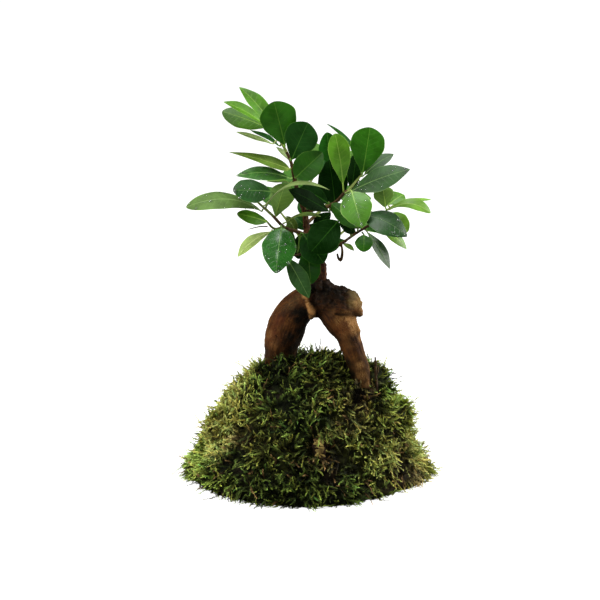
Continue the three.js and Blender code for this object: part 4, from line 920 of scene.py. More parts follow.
    # darker, olive-brown towards the foot of the legs, below about 86 to 98 mm
    leg_foot_dark = smoothstep(98, 86, P[:, 2] + 3.0 * (fbm(P / 3.0, 97) - 0.5)) * 0.8
    M = Mat("root_bark")
    gco = M.scaled(M.attr("co_grain", "Vector"), (1.0, 1.0, 0.16))
    co = M.coords()
    big = M.noise(co, 85.0, 4.0, 0.6)
    grn = M.noise(gco, 0.85, 6.0, 0.62)
    fin = M.noise(gco, 3.2, 5.0, 0.6)
    spk = M.voronoi(co, 620.0)
    pit = M.voronoi(co, 380.0)
    col = M.ramp(M.math("ADD", M.math("MULTIPLY", big, 0.5), M.math("MULTIPLY", grn, 0.5)),
                 [(0.32, srgb(22, 11, 3)), (0.45, srgb(50, 27, 10)), (0.55, srgb(74, 43, 17)), (0.70, srgb(104, 68, 32))])
    col = M.mix(M.math("MULTIPLY", M.span(fin, 0.50, 0.68), 0.65), col, srgb(26, 13, 5))
    col = M.mix(M.math("MULTIPLY", M.attr("red"), 0.40), col, srgb(84, 38, 16))
    # pale tan for the tan mask, which is mostly painted highlight
    tan_c = M.ramp(fin, [(0.34, srgb(70, 42, 18)), (0.50, srgb(142, 100, 58)), (0.66, srgb(190, 150, 104))])
    col = M.mix(M.math("MULTIPLY", M.attr("tan"), 0.80), col, tan_c)
    fleck = M.math("MULTIPLY", M.span(spk, 0.20, 0.08), M.span(M.noise(co, 240.0, 2.0), 0.47, 0.60))
    col = M.mix(M.math("MULTIPLY", fleck, 0.60), col, srgb(150, 112, 70))
    dot = M.math("MULTIPLY", M.span(pit, 0.24, 0.12), M.span(M.noise(co, 170.0, 2.0), 0.46, 0.60))
    col = M.mix(M.math("MULTIPLY", dot, 0.75), col, srgb(14, 8, 3))
    # pale: the pale wood along the scar, and painted highlight under the lip
    pale_c = M.ramp(fin, [(0.30, srgb(120, 74, 36)), (0.50, srgb(170, 122, 76)), (0.68, srgb(206, 168, 122))])
    col = M.mix(M.math("MULTIPLY", M.attr("pale"), 0.88), col, pale_c)
    # near-black for the dark mask, which is mostly painted shade
    dk = M.mix(M.span(M.noise(co, 420.0, 4.0), 0.46, 0.72), srgb(4, 4, 2), srgb(28, 24, 15))
    col = M.mix(M.math("MULTIPLY", M.attr("dark"), 0.95), col, dk)
    col = M.mix(M.math("MULTIPLY", M.attr("leg_foot_dark"), 0.45), col, srgb(26, 24, 8))
    col = M.mix(M.math("MULTIPLY", M.attr("olive"), 0.55), col, srgb(112, 96, 62))
    M.base(M.mix(1.0, col, (1.0, 0.97, 0.80), "MULTIPLY"))
    M.put(rough=M.span(fin, 0.2, 0.8, 0.55, 0.80, False), spec=0.08)
    hgt = M.math("ADD", M.math("MULTIPLY", fin, 0.7), M.math("MULTIPLY", fleck, 0.8))
    hgt = M.math("SUBTRACT", M.math("ADD", hgt, M.math("MULTIPLY", grn, 0.8)), M.math("MULTIPLY", dot, 0.8))
    M.put(normal=M.bump(hgt, 0.75, 0.55))
    ob = make_piece("look_root", v, t, M.m, True,
                    dict(co_grain=grain, dark=dark, pale=pale, red=red, leg_foot_dark=leg_foot_dark, tan=tan, olive=olive))
    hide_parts("root_caudex")
    return lines


root_lines = build_root()


# ---------------------------------------------------------------- stem and branches
def build_stem():
    st = {k: [list(r) for r in v] for k, v in STEM.items()}
    m = st["main"]
    st["main"] = [[4.2, 0.0, 134.5, 6.6], [5.6, 0.0, 138.6, 5.3], [7.2, 0.0, 142.2, 4.0], [8.2, 0.0, 146.5, 3.15]] + m[2:]
    parts = []
    for k, ln in st.items():
        c = catmull(ln, 1.0)
        c[:, 3] = np.maximum(c[:, 3] + 0.10 * np.sin(np.arange(len(c)) * 1.7) * (c[:, 3] > 1.2), 0.5)
        parts.append(tube_mesh(c, 14)[:2])
    # a dead twig on the left, and short leaf scars along the twigs
    parts.append(tube_mesh(catmull(px_line((268, 226.5, -11, 0.8), (260, 226.6, -12, 0.7), (252, 228.3, -12, 0.6), (247.5, 229.6, -13, 0.45)), 1.0), 8)[:2])
    rng = np.random.default_rng(5)
    for k, ln in st.items():
        c = catmull(ln, 1.0)
        for i in range(4, len(c) - 3, 5):
            if k == "stub" or c[i, 3] < 0.65 or (k == "main" and i < 26):
                continue
            d = unit(c[i + 1, :3] - c[i - 1, :3])
            o = unit(np.cross(d, rng.normal(size=3)))
            a = c[i, :3] + o * c[i, 3] * 0.6
            parts.append(tube_mesh(np.array([[*a, c[i, 3] * 0.55], [*(a + o * c[i, 3] * 0.55 + d * 0.3), c[i, 3] * 0.40], [*(a + o * c[i, 3] * 0.85 + d * 0.5), c[i, 3] * 0.22]]), 8)[:2])
    # fibres round the graft
    for k in range(34):
        a = rng.uniform(0, 2 * np.pi)
        r0 = rng.uniform(5.6, 9.6)
        z0 = 133.5 + rng.uniform(-2.0, 2.0)
        top = rng.uniform(138, 149)
        f = (top - 134.5) / 16
        cx0, cx1 = 4.4 + r0 * math.cos(a), 5.0 + 3.4 * f + (3.6 - 0.6 * f) * math.cos(a + 0.4)
        cy0, cy1 = r0 * 0.8 * math.sin(a), (3.6 - 0.6 * f) * math.sin(a + 0.4)
        parts.append(tube_mesh(catmull([[cx0, cy0, z0, 1.1], [(cx0 + cx1) / 2, (cy0 + cy1) / 2, z0 * 0.55 + top * 0.45, 0.8], [cx1, cy1, top, 0.35]], 1.0), 8)[:2])
    v, t = remesh(*join(parts), 0.36)
    e = edges_of(t)
    v = relax(v, e, 2, 0.4)
    n = normals_of(v, t)
    dtr = seg_sd(v, [np.array(st["main"])])
    trunk = smoothstep(0.9, 0.1, dtr) * smoothstep(205, 172, v[:, 2])
    fib = fbm(v * np.array([1 / 0.8, 1 / 0.8, 1 / 4.0]), 21, 3) - 0.5
    flake = smoothstep(0.55, 0.7, fbm(v / 2.2, 25, 3))
    v = v + n * (trunk * (0.9 * fib + 0.45 * flake) + (1 - trunk) * 0.16 * fib + 1.1 * (fbm(v / 1.7, 29, 3) - 0.5) * smoothstep(147, 138, v[:, 2]))[:, None]
    M = Mat("stem_bark")
    co = M.coords()
    g = M.scaled(co, (1.0, 1.0, 0.25))
    a = M.noise(g, 900.0, 5.0, 0.65)
    b = M.noise(co, 240.0, 3.0, 0.5)
    tr = M.ramp(M.math("ADD", M.math("MULTIPLY", a, 0.6), M.math("MULTIPLY", b, 0.4)),
                [(0.30, srgb(16, 8, 3)), (0.45, srgb(48, 25, 11)), (0.57, srgb(86, 50, 26)), (0.72, srgb(150, 112, 76))])
    tw = M.ramp(M.math("ADD", M.math("MULTIPLY", a, 0.5), M.math("MULTIPLY", b, 0.5)),
                [(0.30, srgb(30, 22, 10)), (0.50, srgb(62, 44, 22)), (0.70, srgb(104, 84, 46))])
    col = M.mix(M.attr("trunk"), tw, tr)
    col = M.mix(M.math("MULTIPLY", M.attr("young"), 0.75), col, srgb(110, 128, 62))
    col = M.mix(M.math("MULTIPLY", M.attr("graft"), 0.80), col, srgb(14, 10, 4))
    M.base(col)
    M.put(rough=0.75, spec=0.12)
    M.put(normal=M.bump(a, 0.75, 0.45))
    ends = seg_sd(v, [np.array(ln)[-3:] for k, ln in st.items() if k not in ("stub", "low")])
    young = smoothstep(0.6, 0.0, ends) * smoothstep(150, 175, v[:, 2])
    graft = smoothstep(142, 136, v[:, 2] + 3 * (fbm(v / 2.0, 31) - 0.5))
    ob = make_piece("look_stem", v, t, M.m, True, dict(trunk=trunk, young=young, graft=graft))
    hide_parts("stem")
    groups = {}
    for i, row in enumerate(YOUNG_SHOOTS):
        groups.setdefault(row[8], []).append((i, row))
    for look, rows in groups.items():
        if look not in LEAF_MATS:
            LEAF_MATS[look] = leaf_material(look)
        shoots, atts, uvs = [], {}, []
        for k, (i, (S0, B0, T0, N0, w0, a0, f0, shp, _)) in enumerate(rows):
            big = w0 > 7.5
            V, tr_, att, uv, _ = leaf_shape(S0, B0, T0, N0, w0, a0, f0, shp, 300 + i, 0.22 if big else 0.16, 24 if big else 16, 12 if big else 8, 0.5 if big else 0.34)
            shoots.append((V, tr_))
            att["gain"] = np.full(len(V), 1.0)
            for q in att:
                atts.setdefault(q, []).append(att[q])
            uvs.append((uv * np.array([1.0, 0.98]) + np.array([0.0, k])) / np.array([1.0, len(rows)]))
        V, T = join(shoots)
        ob = make_piece("look_shoots_" + look, V, T, LEAF_MATS[look], True, {q: np.concatenate(x) for q, x in atts.items()}, np.concatenate(uvs))
        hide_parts("stem")


build_stem()


# ---------------------------------------------------------------- moss mound
def table(x, rows):
    a = np.array(rows, float)
    return np.interp(x, a[:, 0], a[:, 1])


def mound_radius(ang, z):
    deg = np.degrees(ang) % 360
    swell = 1.3 * np.sin(3 * ang + z / 16 + 0.6) + 0.9 * np.sin(5 * ang - z / 11 + 2.1)
    fade = np.minimum(1, z / 12) * np.minimum(1, (MOUND_HEIGHT - z) / 22)
    return MOUND_RADIUS * table(z, MOUND_PROFILE) * table(deg, MOUND_PLAN) + swell * fade


MOSS_SWELL = [(-31, -8, 83, 5.5, 5.0), (-21, -13, 84, 6.0, 3.4), (-10, -12, 87, 5.0, 0.5), (-46, 0, 70, 6.0, -3.5),
              (38, -22, 63, 6.0, 5.5), (30, -21, 66, 5.0, 3.5), (44, 3, 76, 8.0, 7.5), (50, 0, 68, 7.0, 3.5), (68, -2, 54, 11.0, 8.5), (-86, -4, 8, 7.0, 3.0), (20, -3, 91, 4.5, 4.5)]


def mound_grid(na, ns, inset, lumps, seed, foot=0.0):
    """Points of the moss surface moved inwards by inset mm, with lumps. Rows run from the bottom to the apex."""
    zz = np.linspace(0, MOUND_HEIGHT, 900)
    rr = MOUND_RADIUS * table(zz, MOUND_PROFILE)
    arc = np.concatenate([[0], np.cumsum(np.hypot(np.diff(zz), np.diff(rr)))])
    z = np.interp(np.linspace(0, arc[-1], ns), arc, zz)
    z[-1] = MOUND_HEIGHT - 0.05
    ang = 2 * np.pi * np.arange(na) / na
    A, Z = np.meshgrid(ang, z, indexing="ij")
    R = mound_radius(A, Z)
    R[:, -1] = 0.3
    P = np.stack([R * np.cos(A), R * np.sin(A), Z], -1)
    du = np.roll(P, -1, 0) - np.roll(P, 1, 0)
    dv = np.gradient(P, axis=1)
    n = unit(np.cross(du, dv))
    n = np.where((n * P).sum(-1, keepdims=True) < 0, -n, n)
    n[:, -2:] = [0, 0, 1]
    lump = lumps * ((fbm(P / 15.0, seed, 3) - 0.5) * 1.6 + (fbm(P / 6.0, seed + 5, 2) - 0.5) * 0.9)
    # steeper right flank with a small foot
    deg = (np.degrees(A) + 180) % 360 - 180
    steep = 5.5 * np.exp(-((deg + 2) / 24.0) ** 2) * smoothstep(3, 10, Z) * smoothstep(40, 26, Z)
    # the moss climbs the legs where they stand in it
    for x, y, z, r, h in MOSS_SWELL:
        lump = lump + foot * h * np.exp(-((P - [x, y, z]) ** 2).sum(-1) / (2 * r * r))
    P = P - n * (inset + (steep * foot)[..., None] - lump[..., None])
    P[..., 2] = np.maximum(P[..., 2], 0.35)
    P[:, 0, 2] = 0.0
    return P, n


def grid_tris(na, ns):
    i, k = np.meshgrid(np.arange(na), np.arange(ns - 1), indexing="ij")
    a = (i * ns + k).ravel()
    b = (((i + 1) % na) * ns + k).ravel()
    return np.concatenate([np.stack([a, b, b + 1], 1), np.stack([a, b + 1, a + 1], 1)])


def close_bottom(P, tris):
    na, ns = P.shape[:2]
    V = np.concatenate([P.reshape(-1, 3), [[0, 0, 0.0]], [P[:, -1].mean(0) + [0, 0, 0.1]]])
    c, top = na * ns, na * ns + 1
    k = np.arange(na)
    k2 = (k + 1) % na
    fan = np.stack([np.full(na, c), k2 * ns, k * ns], 1)
    cap = np.stack([np.full(na, top), k * ns + ns - 1, k2 * ns + ns - 1], 1)
    return V, np.concatenate([tris, fan, cap])


BED_IN = 4.6
bedP, bedN = mound_grid(320, 120, BED_IN, 3.0, 210, 1.0)
bed_tris = grid_tris(320, 120)


def px_of(P):
    d = np.asarray(P, float) - CAM * 1000.0
    fwd = np.array([0, math.cos(ELEV), -math.sin(ELEV)])
    up = np.array([0, math.sin(ELEV), math.cos(ELEV)])
    w = d @ fwd
    return np.stack([300 + 3142.857 * d[..., 0] / w, 300 - 3142.857 * (d @ up) / w], -1)


def bed_at(u, v):
    """Point of the moss bed that the camera sees at (u, v)."""
    flat, nn = bedP.reshape(-1, 3), bedN.reshape(-1, 3)
    q = px_of(flat)
    facing = nn @ np.array([0, -math.cos(ELEV), math.sin(ELEV)]) > -0.15
    d = (q[:, 0] - u) ** 2 + (q[:, 1] - v) ** 2 + np.where(facing, 0, 1e9)
    return flat[np.argmin(d)]


# colour zones of the moss: (u, v, radius px, colour, weight)
TIP_MID, TIP_DARK, TIP_GREEN = srgb(112, 126, 42), srgb(64, 84, 24), srgb(88, 112, 32)
TIP_OLIVE, TIP_BRIGHT, TIP_KHAKI = srgb(158, 166, 68), srgb(126, 156, 46), srgb(132, 138, 58)
TIP_STRAW, TIP_BROWN, TIP_EARTH = srgb(218, 198, 134), srgb(116, 90, 48), srgb(56, 44, 22)
TIP_PALE, TIP_SUN = srgb(216, 220, 110), srgb(168, 194, 76)
ZONES = [
    (300, 358, 24, TIP_DARK, 1.0), (293, 359, 8, TIP_EARTH, 1.3), (299, 365, 7, TIP_EARTH, 0.8), (335, 352, 20, TIP_MID, 1.0), (270, 375, 22, TIP_DARK, 1.0), (330, 378, 24, TIP_MID, 1.0),
    (290, 392, 20, TIP_DARK, 1.0), (255, 385, 12, TIP_MID, 1.0), (300, 420, 22, TIP_DARK, 0.8), (318, 362, 12, TIP_GREEN, 1.0),
    (243, 378, 12, TIP_PALE, 1.0), (230, 398, 16, TIP_PALE, 1.2), (221, 420, 17, TIP_PALE, 1.4), (218, 441, 15, TIP_PALE, 1.1),
    (243, 408, 10, TIP_OLIVE, 0.8), (252, 422, 12, TIP_MID, 1.0), (262, 436, 12, TIP_MID, 0.9),
    (212, 431, 5, TIP_BROWN, 0.4), (248, 440, 8, TIP_BROWN, 0.5), (205, 455, 12, TIP_SUN, 1.0), (192, 466, 13, TIP_SUN, 1.0),
    (183, 473, 8, TIP_BRIGHT, 1.0), (262, 452, 14, TIP_MID, 0.9), (285, 462, 14, TIP_MID, 1.0), (240, 474, 18, TIP_DARK, 1.4),
    (275, 485, 18, TIP_GREEN, 1.0), (305, 492, 16, TIP_GREEN, 1.0), (230, 488, 14, TIP_MID, 1.0), (216, 478, 10, TIP_BRIGHT, 1.0),
    (298, 440, 9, TIP_GREEN, 1.0), (320, 410, 14, TIP_GREEN, 1.0), (312, 404, 6, TIP_BROWN, 0.8), (330, 398, 6, TIP_BROWN, 0.7),
    (355, 402, 11, TIP_EARTH, 1.0), (366, 397, 7, TIP_EARTH, 1.0), (350, 425, 15, TIP_KHAKI, 1.0),
    (385, 385, 13, TIP_GREEN, 1.0), (397, 400, 11, TIP_SUN, 1.0), (378, 430, 13, TIP_MID, 1.0), (395, 425, 12, TIP_MID, 1.0),
    (362, 452, 15, TIP_MID, 1.1), (385, 452, 11, TIP_PALE, 0.8), (411, 430, 12, TIP_PALE, 1.1), (416, 445, 13, TIP_PALE, 1.2),
    (422, 440, 18, TIP_PALE, 1.4), (420, 457, 8, TIP_STRAW, 1.3), (426, 462, 12, TIP_SUN, 1.0), (403, 460, 9, TIP_KHAKI, 1.0), (415, 474, 6, TIP_STRAW, 1.3), (435, 476, 13, TIP_PALE, 1.1),
    (400, 470, 8, TIP_BROWN, 1.0), (372, 478, 14, TIP_MID, 1.0), (345, 485, 14, TIP_GREEN, 1.0),
    (322, 452, 8, TIP_BROWN, 0.9), (330, 470, 10, TIP_EARTH, 0.9), (365, 495, 10, TIP_GREEN, 1.0),
]


def zone_table():
    pts, cols, rad, wt = [], [], [], []
    for u, v, r, c, w in ZONES:
        pts.append(bed_at(u, v))
        cols.append(c)
        rad.append(r * 0.7)
        wt.append(w)
    rng = np.random.default_rng(77)
    pal = [TIP_MID, TIP_DARK, TIP_OLIVE, TIP_BRIGHT, TIP_GREEN, TIP_KHAKI, TIP_MID, TIP_PALE, TIP_BROWN, TIP_GREEN]
    flat = bedP.reshape(-1, 3)
    back = flat[(flat[:, 1] > 26) & (flat[:, 2] > 2)]
    for k in range(46):
        pts.append(back[rng.integers(len(back))])
        cols.append(pal[rng.integers(len(pal))])
        rad.append(rng.uniform(7, 14))
        wt.append(1.0)
    return np.array(pts), np.array(cols), np.array(rad), np.array(wt)


Z_P, Z_C, Z_R, Z_W = zone_table()


def zone_colour(P):
    jit = (np.stack([fbm(P / 5.0, s, 2) for s in (301, 311, 321)], -1) - 0.5) * 9.0
    Q = P + jit
    out = np.zeros((len(P), 3))
    tot = np.zeros(len(P))
    for p, c, r, w in zip(Z_P, Z_C, Z_R, Z_W):
        d2 = (((Q - p) * [1.0, 0.5, 1.0]) ** 2).sum(1) / (r * r)
        g = w * np.exp(-1.6 * d2)
        out += g[:, None] * np.asarray(c)
        tot += g
    base = 0.03
    return (out + base * np.asarray(TIP_MID)) / (tot + base)[:, None]


# where the pile as a whole lies in more or less light: (u, v, radius px, factor)
TONE = [(262, 366, 24, 2.4), (266, 396, 20, 1.8), (404, 396, 26, 2.2), (360, 400, 20, 1.9), (312, 430, 24, 0.66), (308, 464, 24, 0.64),
        (268, 488, 22, 0.66), (312, 490, 24, 0.60), (357, 490, 24, 0.66), (222, 452, 24, 0.55), (357, 455, 18, 1.8), (260, 456, 14, 1.6), (397, 390, 14, 1.4), (258, 372, 14, 1.5), (424, 440, 16, 1.4),
        (312, 396, 18, 0.85), (222, 482, 14, 1.4)]


def tone(P):
    g = np.zeros(len(P))
    for u, v, r, k in TONE:
        g += np.log(k) * np.exp(-((P - bed_at(u, v)) ** 2).sum(1) / (r * 0.7) ** 2)
    return np.exp(g)


def near(P, rows):
    m = np.zeros(len(P))
    for u, v, r in rows:
        c = bed_at(u, v)
        m = np.maximum(m, np.exp(-((P - c) ** 2).sum(1) / (r * 0.7) ** 2))
    return m


BARE = [(366, 408, 5), (356, 408, 5), (392, 487, 8), (403, 482, 8), (380, 493, 6), (412, 478, 5), (386, 489, 6), (398, 484, 7), (398, 462, 7), (399, 449, 5),
        (393, 418, 4.5), (396, 428, 4.5), (398, 438, 4), (247, 416, 4), (251, 428, 4), (248, 440, 3.5), (259, 445, 4),
        (240, 470, 5), (216, 461, 4), (290, 355, 5), (301, 358, 5), (280, 395, 4.5), (268, 391, 4), (318, 431, 4), (330, 472, 7), (350, 478, 5), (243, 478, 5), (310, 388, 4), (347, 446, 3)]
chip_c = np.array([6.52, -61.29, 37.49])
chip_n = np.array([0.1369, -0.9084, 0.3950])


def moss_material(name, rough):
    M = Mat(name)
    co = M.coords()
    n = M.noise(co, 700.0, 2.0, 0.5)
    col = M.mix(M.span(n, 0.3, 0.7, 0.0, 0.30), M.attr("tint", "Color"), (0.0, 0.0, 0.0))
    M.base(col)
    M.put(rough=rough, spec=0.10)
    return M.m


def sprig_arrays(P0, D, U, L, bend, lw, J, tint_tip, tint_root, rng, stem_r=0.17, wiggle=0.0, plump=0.32, open_deg=60.0):
    """Feathery moss sprigs: a curved stem with small pointed leaflets. Returns verts, tris, tint, uv."""
    n = len(P0)

    om = rng.uniform(3.0, 6.5, n)
    ph = rng.uniform(0, 2 * np.pi, n)
    wig = unit(np.cross(D, unit(rng.normal(size=(n, 3))))) * (wiggle * rng.uniform(0.4, 1.0, n))[:, None]

    def centre(s):
        return P0 + D * (L * s)[:, None] + bend * (L * s * s)[:, None] + wig * (L * (np.sin(om * s + ph) - np.sin(ph)))[:, None]

    def tang(s):
        return unit(D + 2 * bend * s[:, None] + wig * (om * np.cos(om * s + ph))[:, None])

    V, C = [], []
    for j in range(J):  # leaflets
        f = j / (J - 1)
        s = np.clip(0.10 + 0.90 * f + rng.uniform(-0.02, 0.02, n), 0, 1)
        T = tang(s)
        S = unit(np.cross(T, U))
        W = np.cross(S, T)
        phi = (j % 2) * np.pi + rng.uniform(-0.5, 0.5, n) + (np.pi / 2 if j % 3 == 2 else 0)
        a = np.radians(open_deg - 0.6 * open_deg * f + rng.uniform(-12, 12, n))
        if j >= J - 2:
            a = np.radians(rng.uniform(5, 22, n))
        o = S * np.cos(phi)[:, None] + W * np.sin(phi)[:, None]
        d = unit(T * np.cos(a)[:, None] + o * np.sin(a)[:, None])
        ln = lw * (1.0 - 0.42 * f * f) * (0.55 + 0.45 * min(1.0, f * 6)) * rng.uniform(0.75, 1.25, n)
        wd = unit(np.cross(d, W * 1.0 + o * 0.4 + rng.normal(0, 0.25, (n, 3))))
        wdt = ln * rng.uniform(0.85, 1.25, n) * plump
        b = centre(s)
        mid = b + d * (0.42 * ln)[:, None]
        tip = b + d * (0.92 * ln)[:, None] + T * (0.22 * ln)[:, None]
        V.append(np.stack([b, mid + wd * (0.5 * wdt)[:, None], tip, mid - wd * (0.5 * wdt)[:, None]], 1))
        # sh is painted shade, darker towards each sprig's base; each leaflet is darker at its base as painted shade,
        # and its tip paler and greyer as a painted highlight
        sh = np.clip(0.15 + 1.05 * s, 0, 1.15)
        c0 = tint_root + (tint_tip - tint_root) * np.clip(s * 1.12 - 0.10, 0, 1)[:, None] ** 1.5
        c1 = c0 * 1.25 + 0.22 * c0.mean(1, keepdims=True)
        C.append(np.stack([c0 * 0.55, c0, np.minimum(c1, 1), c0], 1) * sh[:, None, None])
    V = np.stack(V, 1).reshape(n * J * 4, 3)
    C = np.stack(C, 1).reshape(n * J * 4, 3)
    q = np.arange(n * J) * 4
    T1 = np.concatenate([np.stack([q, q + 1, q + 2], 1), np.stack([q, q + 2, q + 3], 1)], 1).reshape(-1, 3)
    nq = n * J
    # stems
    m = 5
    ang = 2 * np.pi * np.arange(3) / 3
    SV, SC = [], []
    for k in range(m):
        s = np.full(n, k / (m - 1) * 0.98)
        T = tang(s)
        S = unit(np.cross(T, U))
        W = np.cross(S, T)
        r = stem_r * (1.1 - 0.7 * s[0])
        SV.append(centre(s)[:, None, :] + r * (S[:, None, :] * np.cos(ang)[None, :, None] + W[:, None, :] * np.sin(ang)[None, :, None]))
        c = tint_root * 0.9 + (tint_tip * 0.75 - tint_root * 0.9) * s[:, None] ** 1.5
        SC.append(np.repeat(c[:, None, :], 3, 1))
    SV = np.stack(SV, 1).reshape(n * m * 3, 3)
    SC = np.stack(SC, 1).reshape(n * m * 3, 3)
    i, k, g = np.meshgrid(np.arange(n), np.arange(m - 1), np.arange(3), indexing="ij")
    a = (i * m * 3 + k * 3 + g).ravel()
    b = (i * m * 3 + k * 3 + (g + 1) % 3).ravel()
    T2 = np.stack([np.stack([a, b, b + 3], 1), np.stack([a, b + 3, a + 3], 1)], 1).reshape(-1, 3) + len(V)
    Vall = np.concatenate([V, SV])
    Vall[:, 2] = np.maximum(Vall[:, 2], 0.12 + 0.25 * rng.random(len(Vall)))
    cells = nq + n
    G = int(math.ceil(math.sqrt(cells)))
    shape1 = np.array([[0.5, 0.06], [0.06, 0.5], [0.5, 0.94], [0.94, 0.5]])
    cell = np.arange(nq)
    org = np.stack([cell % G, cell // G], 1).astype(float)
    uv4 = (org[:, None, :] + shape1[None]) / G
    uv1 = np.stack([uv4[:, [0, 1, 2]], uv4[:, [0, 2, 3]]], 1).reshape(-1, 3, 2)
    cell = nq + i.ravel()
    org = np.stack([cell % G, cell // G], 1).astype(float)
    kk, gg = k.ravel() / (m - 1.0), g.ravel() / 3.0
    def uvq(x, y):
        return (org + np.stack([0.06 + 0.88 * x, 0.06 + 0.88 * y], 1)) / G
    A, B_, C_, D_ = uvq(gg, kk), uvq(gg + 1 / 3, kk), uvq(gg + 1 / 3, kk + 0.25), uvq(gg, kk + 0.25)
    uv2 = np.stack([np.stack([A, B_, C_], 1), np.stack([A, C_, D_], 1)], 1).reshape(-1, 3, 2)
    return Vall, np.concatenate([T1, T2]), np.concatenate([C, SC]), np.concatenate([uv1, uv2])


def scatter(count, rng, keep=None):
    V = bedP.reshape(-1, 3)
    NN = bedN.reshape(-1, 3)
    a, b, c = (V[bed_tris[:, k]] for k in range(3))
    area = 0.5 * np.linalg.norm(np.cross(b - a, c - a), axis=1)
    pick = rng.choice(len(bed_tris), int(count * 1.6), p=area / area.sum())
    w = rng.dirichlet([1, 1, 1], len(pick))
    P = sum(V[bed_tris[pick, k]] * w[:, k:k + 1] for k in range(3))
    N = unit(sum(NN[bed_tris[pick, k]] * w[:, k:k + 1] for k in range(3)))
    ok = rng.random(len(P)) > 0.93 * near(P, BARE)
    sd = seg_sd(P, list(root_lines.values()))
    ok &= sd > 0.4
    dc = P - chip_c
    ok &= ~((np.linalg.norm(dc - np.outer(dc @ chip_n, chip_n), axis=1) < 4.8) & (P[:, 1] < -30))
    P, N = P[ok][:count], N[ok][:count]
    return P, N


def build_moss():
    # the bed under the sprigs: felted and dark; its near-black tint is partly the bed's own colour, partly painted
    # shade deep among the sprigs
    P = bedP.copy()
    flat = P.reshape(-1, 3)
    nn = bedN.reshape(-1, 3)
    rough = (fbm(flat / 1.6, 401, 3) - 0.5) * 2.2
    live = flat[:, 2] > 0.5
    flat = flat + nn * (rough * live)[:, None]
    flat[:, 2] = np.where(live, np.maximum(flat[:, 2], 0.3), 0.0)
    V, T = close_bottom(flat.reshape(bedP.shape), bed_tris)
    zc = zone_colour(V)
    soil = near(V, BARE)
    cav = smoothstep(0.35, 0.65, fbm(V / 2.0, 405, 3))
    # near-black tint, partly painted shade among the sprigs
    tint = zc * (0.03 + 0.10 * cav)[:, None] * np.array([1.0, 0.9, 0.7])
    tint = tint * (1 - 0.8 * soil[:, None]) + np.array(srgb(34, 25, 16)) * (0.9 * soil[:, None]) * (0.5 + cav[:, None])
    bed = make_piece("look_moss_bed", V, T, moss_material("moss_bed", 0.9), True, dict(tint=tint))
    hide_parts("moss_cover")

    rng = np.random.default_rng(2024)
    Ms = moss_material("moss_sprigs", 0.62)
    up = np.array([0, 0, 1.0])

    def directions(P, N, spread, rise, rngx, curl=1.0):
        field = 2 * np.pi * 2.2 * fbm(P / 13.0, 501, 2)
        ang = field + rngx.normal(0, 0.75, len(P))
        t1 = unit(np.cross(N, up + 0.001))
        t2 = np.cross(N, t1)
        Tn = t1 * np.cos(ang)[:, None] + t2 * np.sin(ang)[:, None]
        low = smoothstep(34, 4, P[:, 2])
        radial = unit(P * np.array([1, 1, 0]))
        high = smoothstep(55, 85, P[:, 2])
        D = unit(N * (rise * rngx.uniform(0.65, 1.25, len(P)))[:, None] + Tn * (spread * rngx.uniform(0.5, 1.3, len(P)))[:, None]
                 + up * (0.30 * high + 0.10 - 0.22 * low)[:, None] + radial * (0.30 * low)[:, None])
        bend = unit(Tn + rngx.normal(0, 0.5 * curl, P.shape)) * (curl * rngx.uniform(0.05, 0.34, len(P)))[:, None] - up * (0.16 * low + 0.05)[:, None]
        return D, bend, Tn

    def layer(name, count, lmin, lmax, lw, J, spread, rise, shade, stem_r, limit=190000, seed=1, pw=1.0, curl=1.0, wiggle=0.0, plump=0.32, open_deg=60.0, hollow_cut=0.9):
        rngx = np.random.default_rng(seed)
        P, N = scatter(count, rngx)
        D, bend, Tn = directions(P, N, spread, rise, rngx, curl)
        L = rngx.uniform(0, 1, len(P)) ** pw * (lmax - lmin) + lmin
        tuft = fbm(P / 9.0, 601, 2)
        L = L * (0.72 + 0.56 * tuft)
        end = P + D * L[:, None]
        far = seg_sd(end, list(root_lines.values()))
        half = seg_sd(P + D * (0.5 * L)[:, None], list(root_lines.values()))
        hole = smoothstep(0.46, 0.36, fbm(P / 5.5, 641, 2))
        ok = (far > 0.2) & (half > 0.2) & (rngx.random(len(P)) > hollow_cut * hole)
        ok &= rngx.random(len(P)) > 0.95 * near(P + D * (0.75 * L)[:, None], BARE)
        P, N, D, bend, L, Tn = P[ok], N[ok], D[ok], bend[ok], L[ok], Tn[ok]
        zc = zone_colour(P)
        n = len(P)
        # clumps: some in full light and pale, others hollow and dark
        clump = fbm(P / 4.5, 611, 2)
        light = smoothstep(0.16, 0.42, zc.mean(1))[:, None]
        zc = zc * tone(P)[:, None] * (1 + (1 - light) * np.array([[0.0, -0.09, 0.20]]))
        vary = rngx.lognormal(0, 0.48, n)[:, None] * (0.22 + 0.95 * light + 1.60 * smoothstep(0.36, 0.64, clump)[:, None])
        hue = rngx.normal(0, 1, (n, 1))
        tip = zc * vary * (1 + hue * np.array([[0.13, 0.0, -0.08]])) * shade
        dead = rngx.random(n) < 0.035
        tip[dead] = np.array(srgb(128, 100, 58)) * rngx.uniform(0.5, 1.1, (dead.sum(), 1)) * shade
        tip = np.maximum(tip, 0.001)
        tip = tip / np.maximum(1.0, tip.max(1, keepdims=True) / 0.74)
        # darker sprig bases: partly their own browner colour, partly painted shade under the pile, lighter in light
        # zones
        root = tip * (np.array([[0.13, 0.12, 0.08]]) + 0.42 * light)
        per = J * 2 + 24
        m = max(1, int(limit // per))
        for k in range(0, n, m):
            s = slice(k, k + m)
            V, T, C, uv = sprig_arrays(P[s], D[s], unit(N[s] + 0.2 * up), L[s], bend[s], lw, J, tip[s], root[s], rngx, stem_r, wiggle, plump, open_deg)
            ob = make_piece("%s_%02d" % (name, k // m + 1), V, T, Ms, False, dict(tint=C), uv)
            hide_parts("moss_cover")
        return n

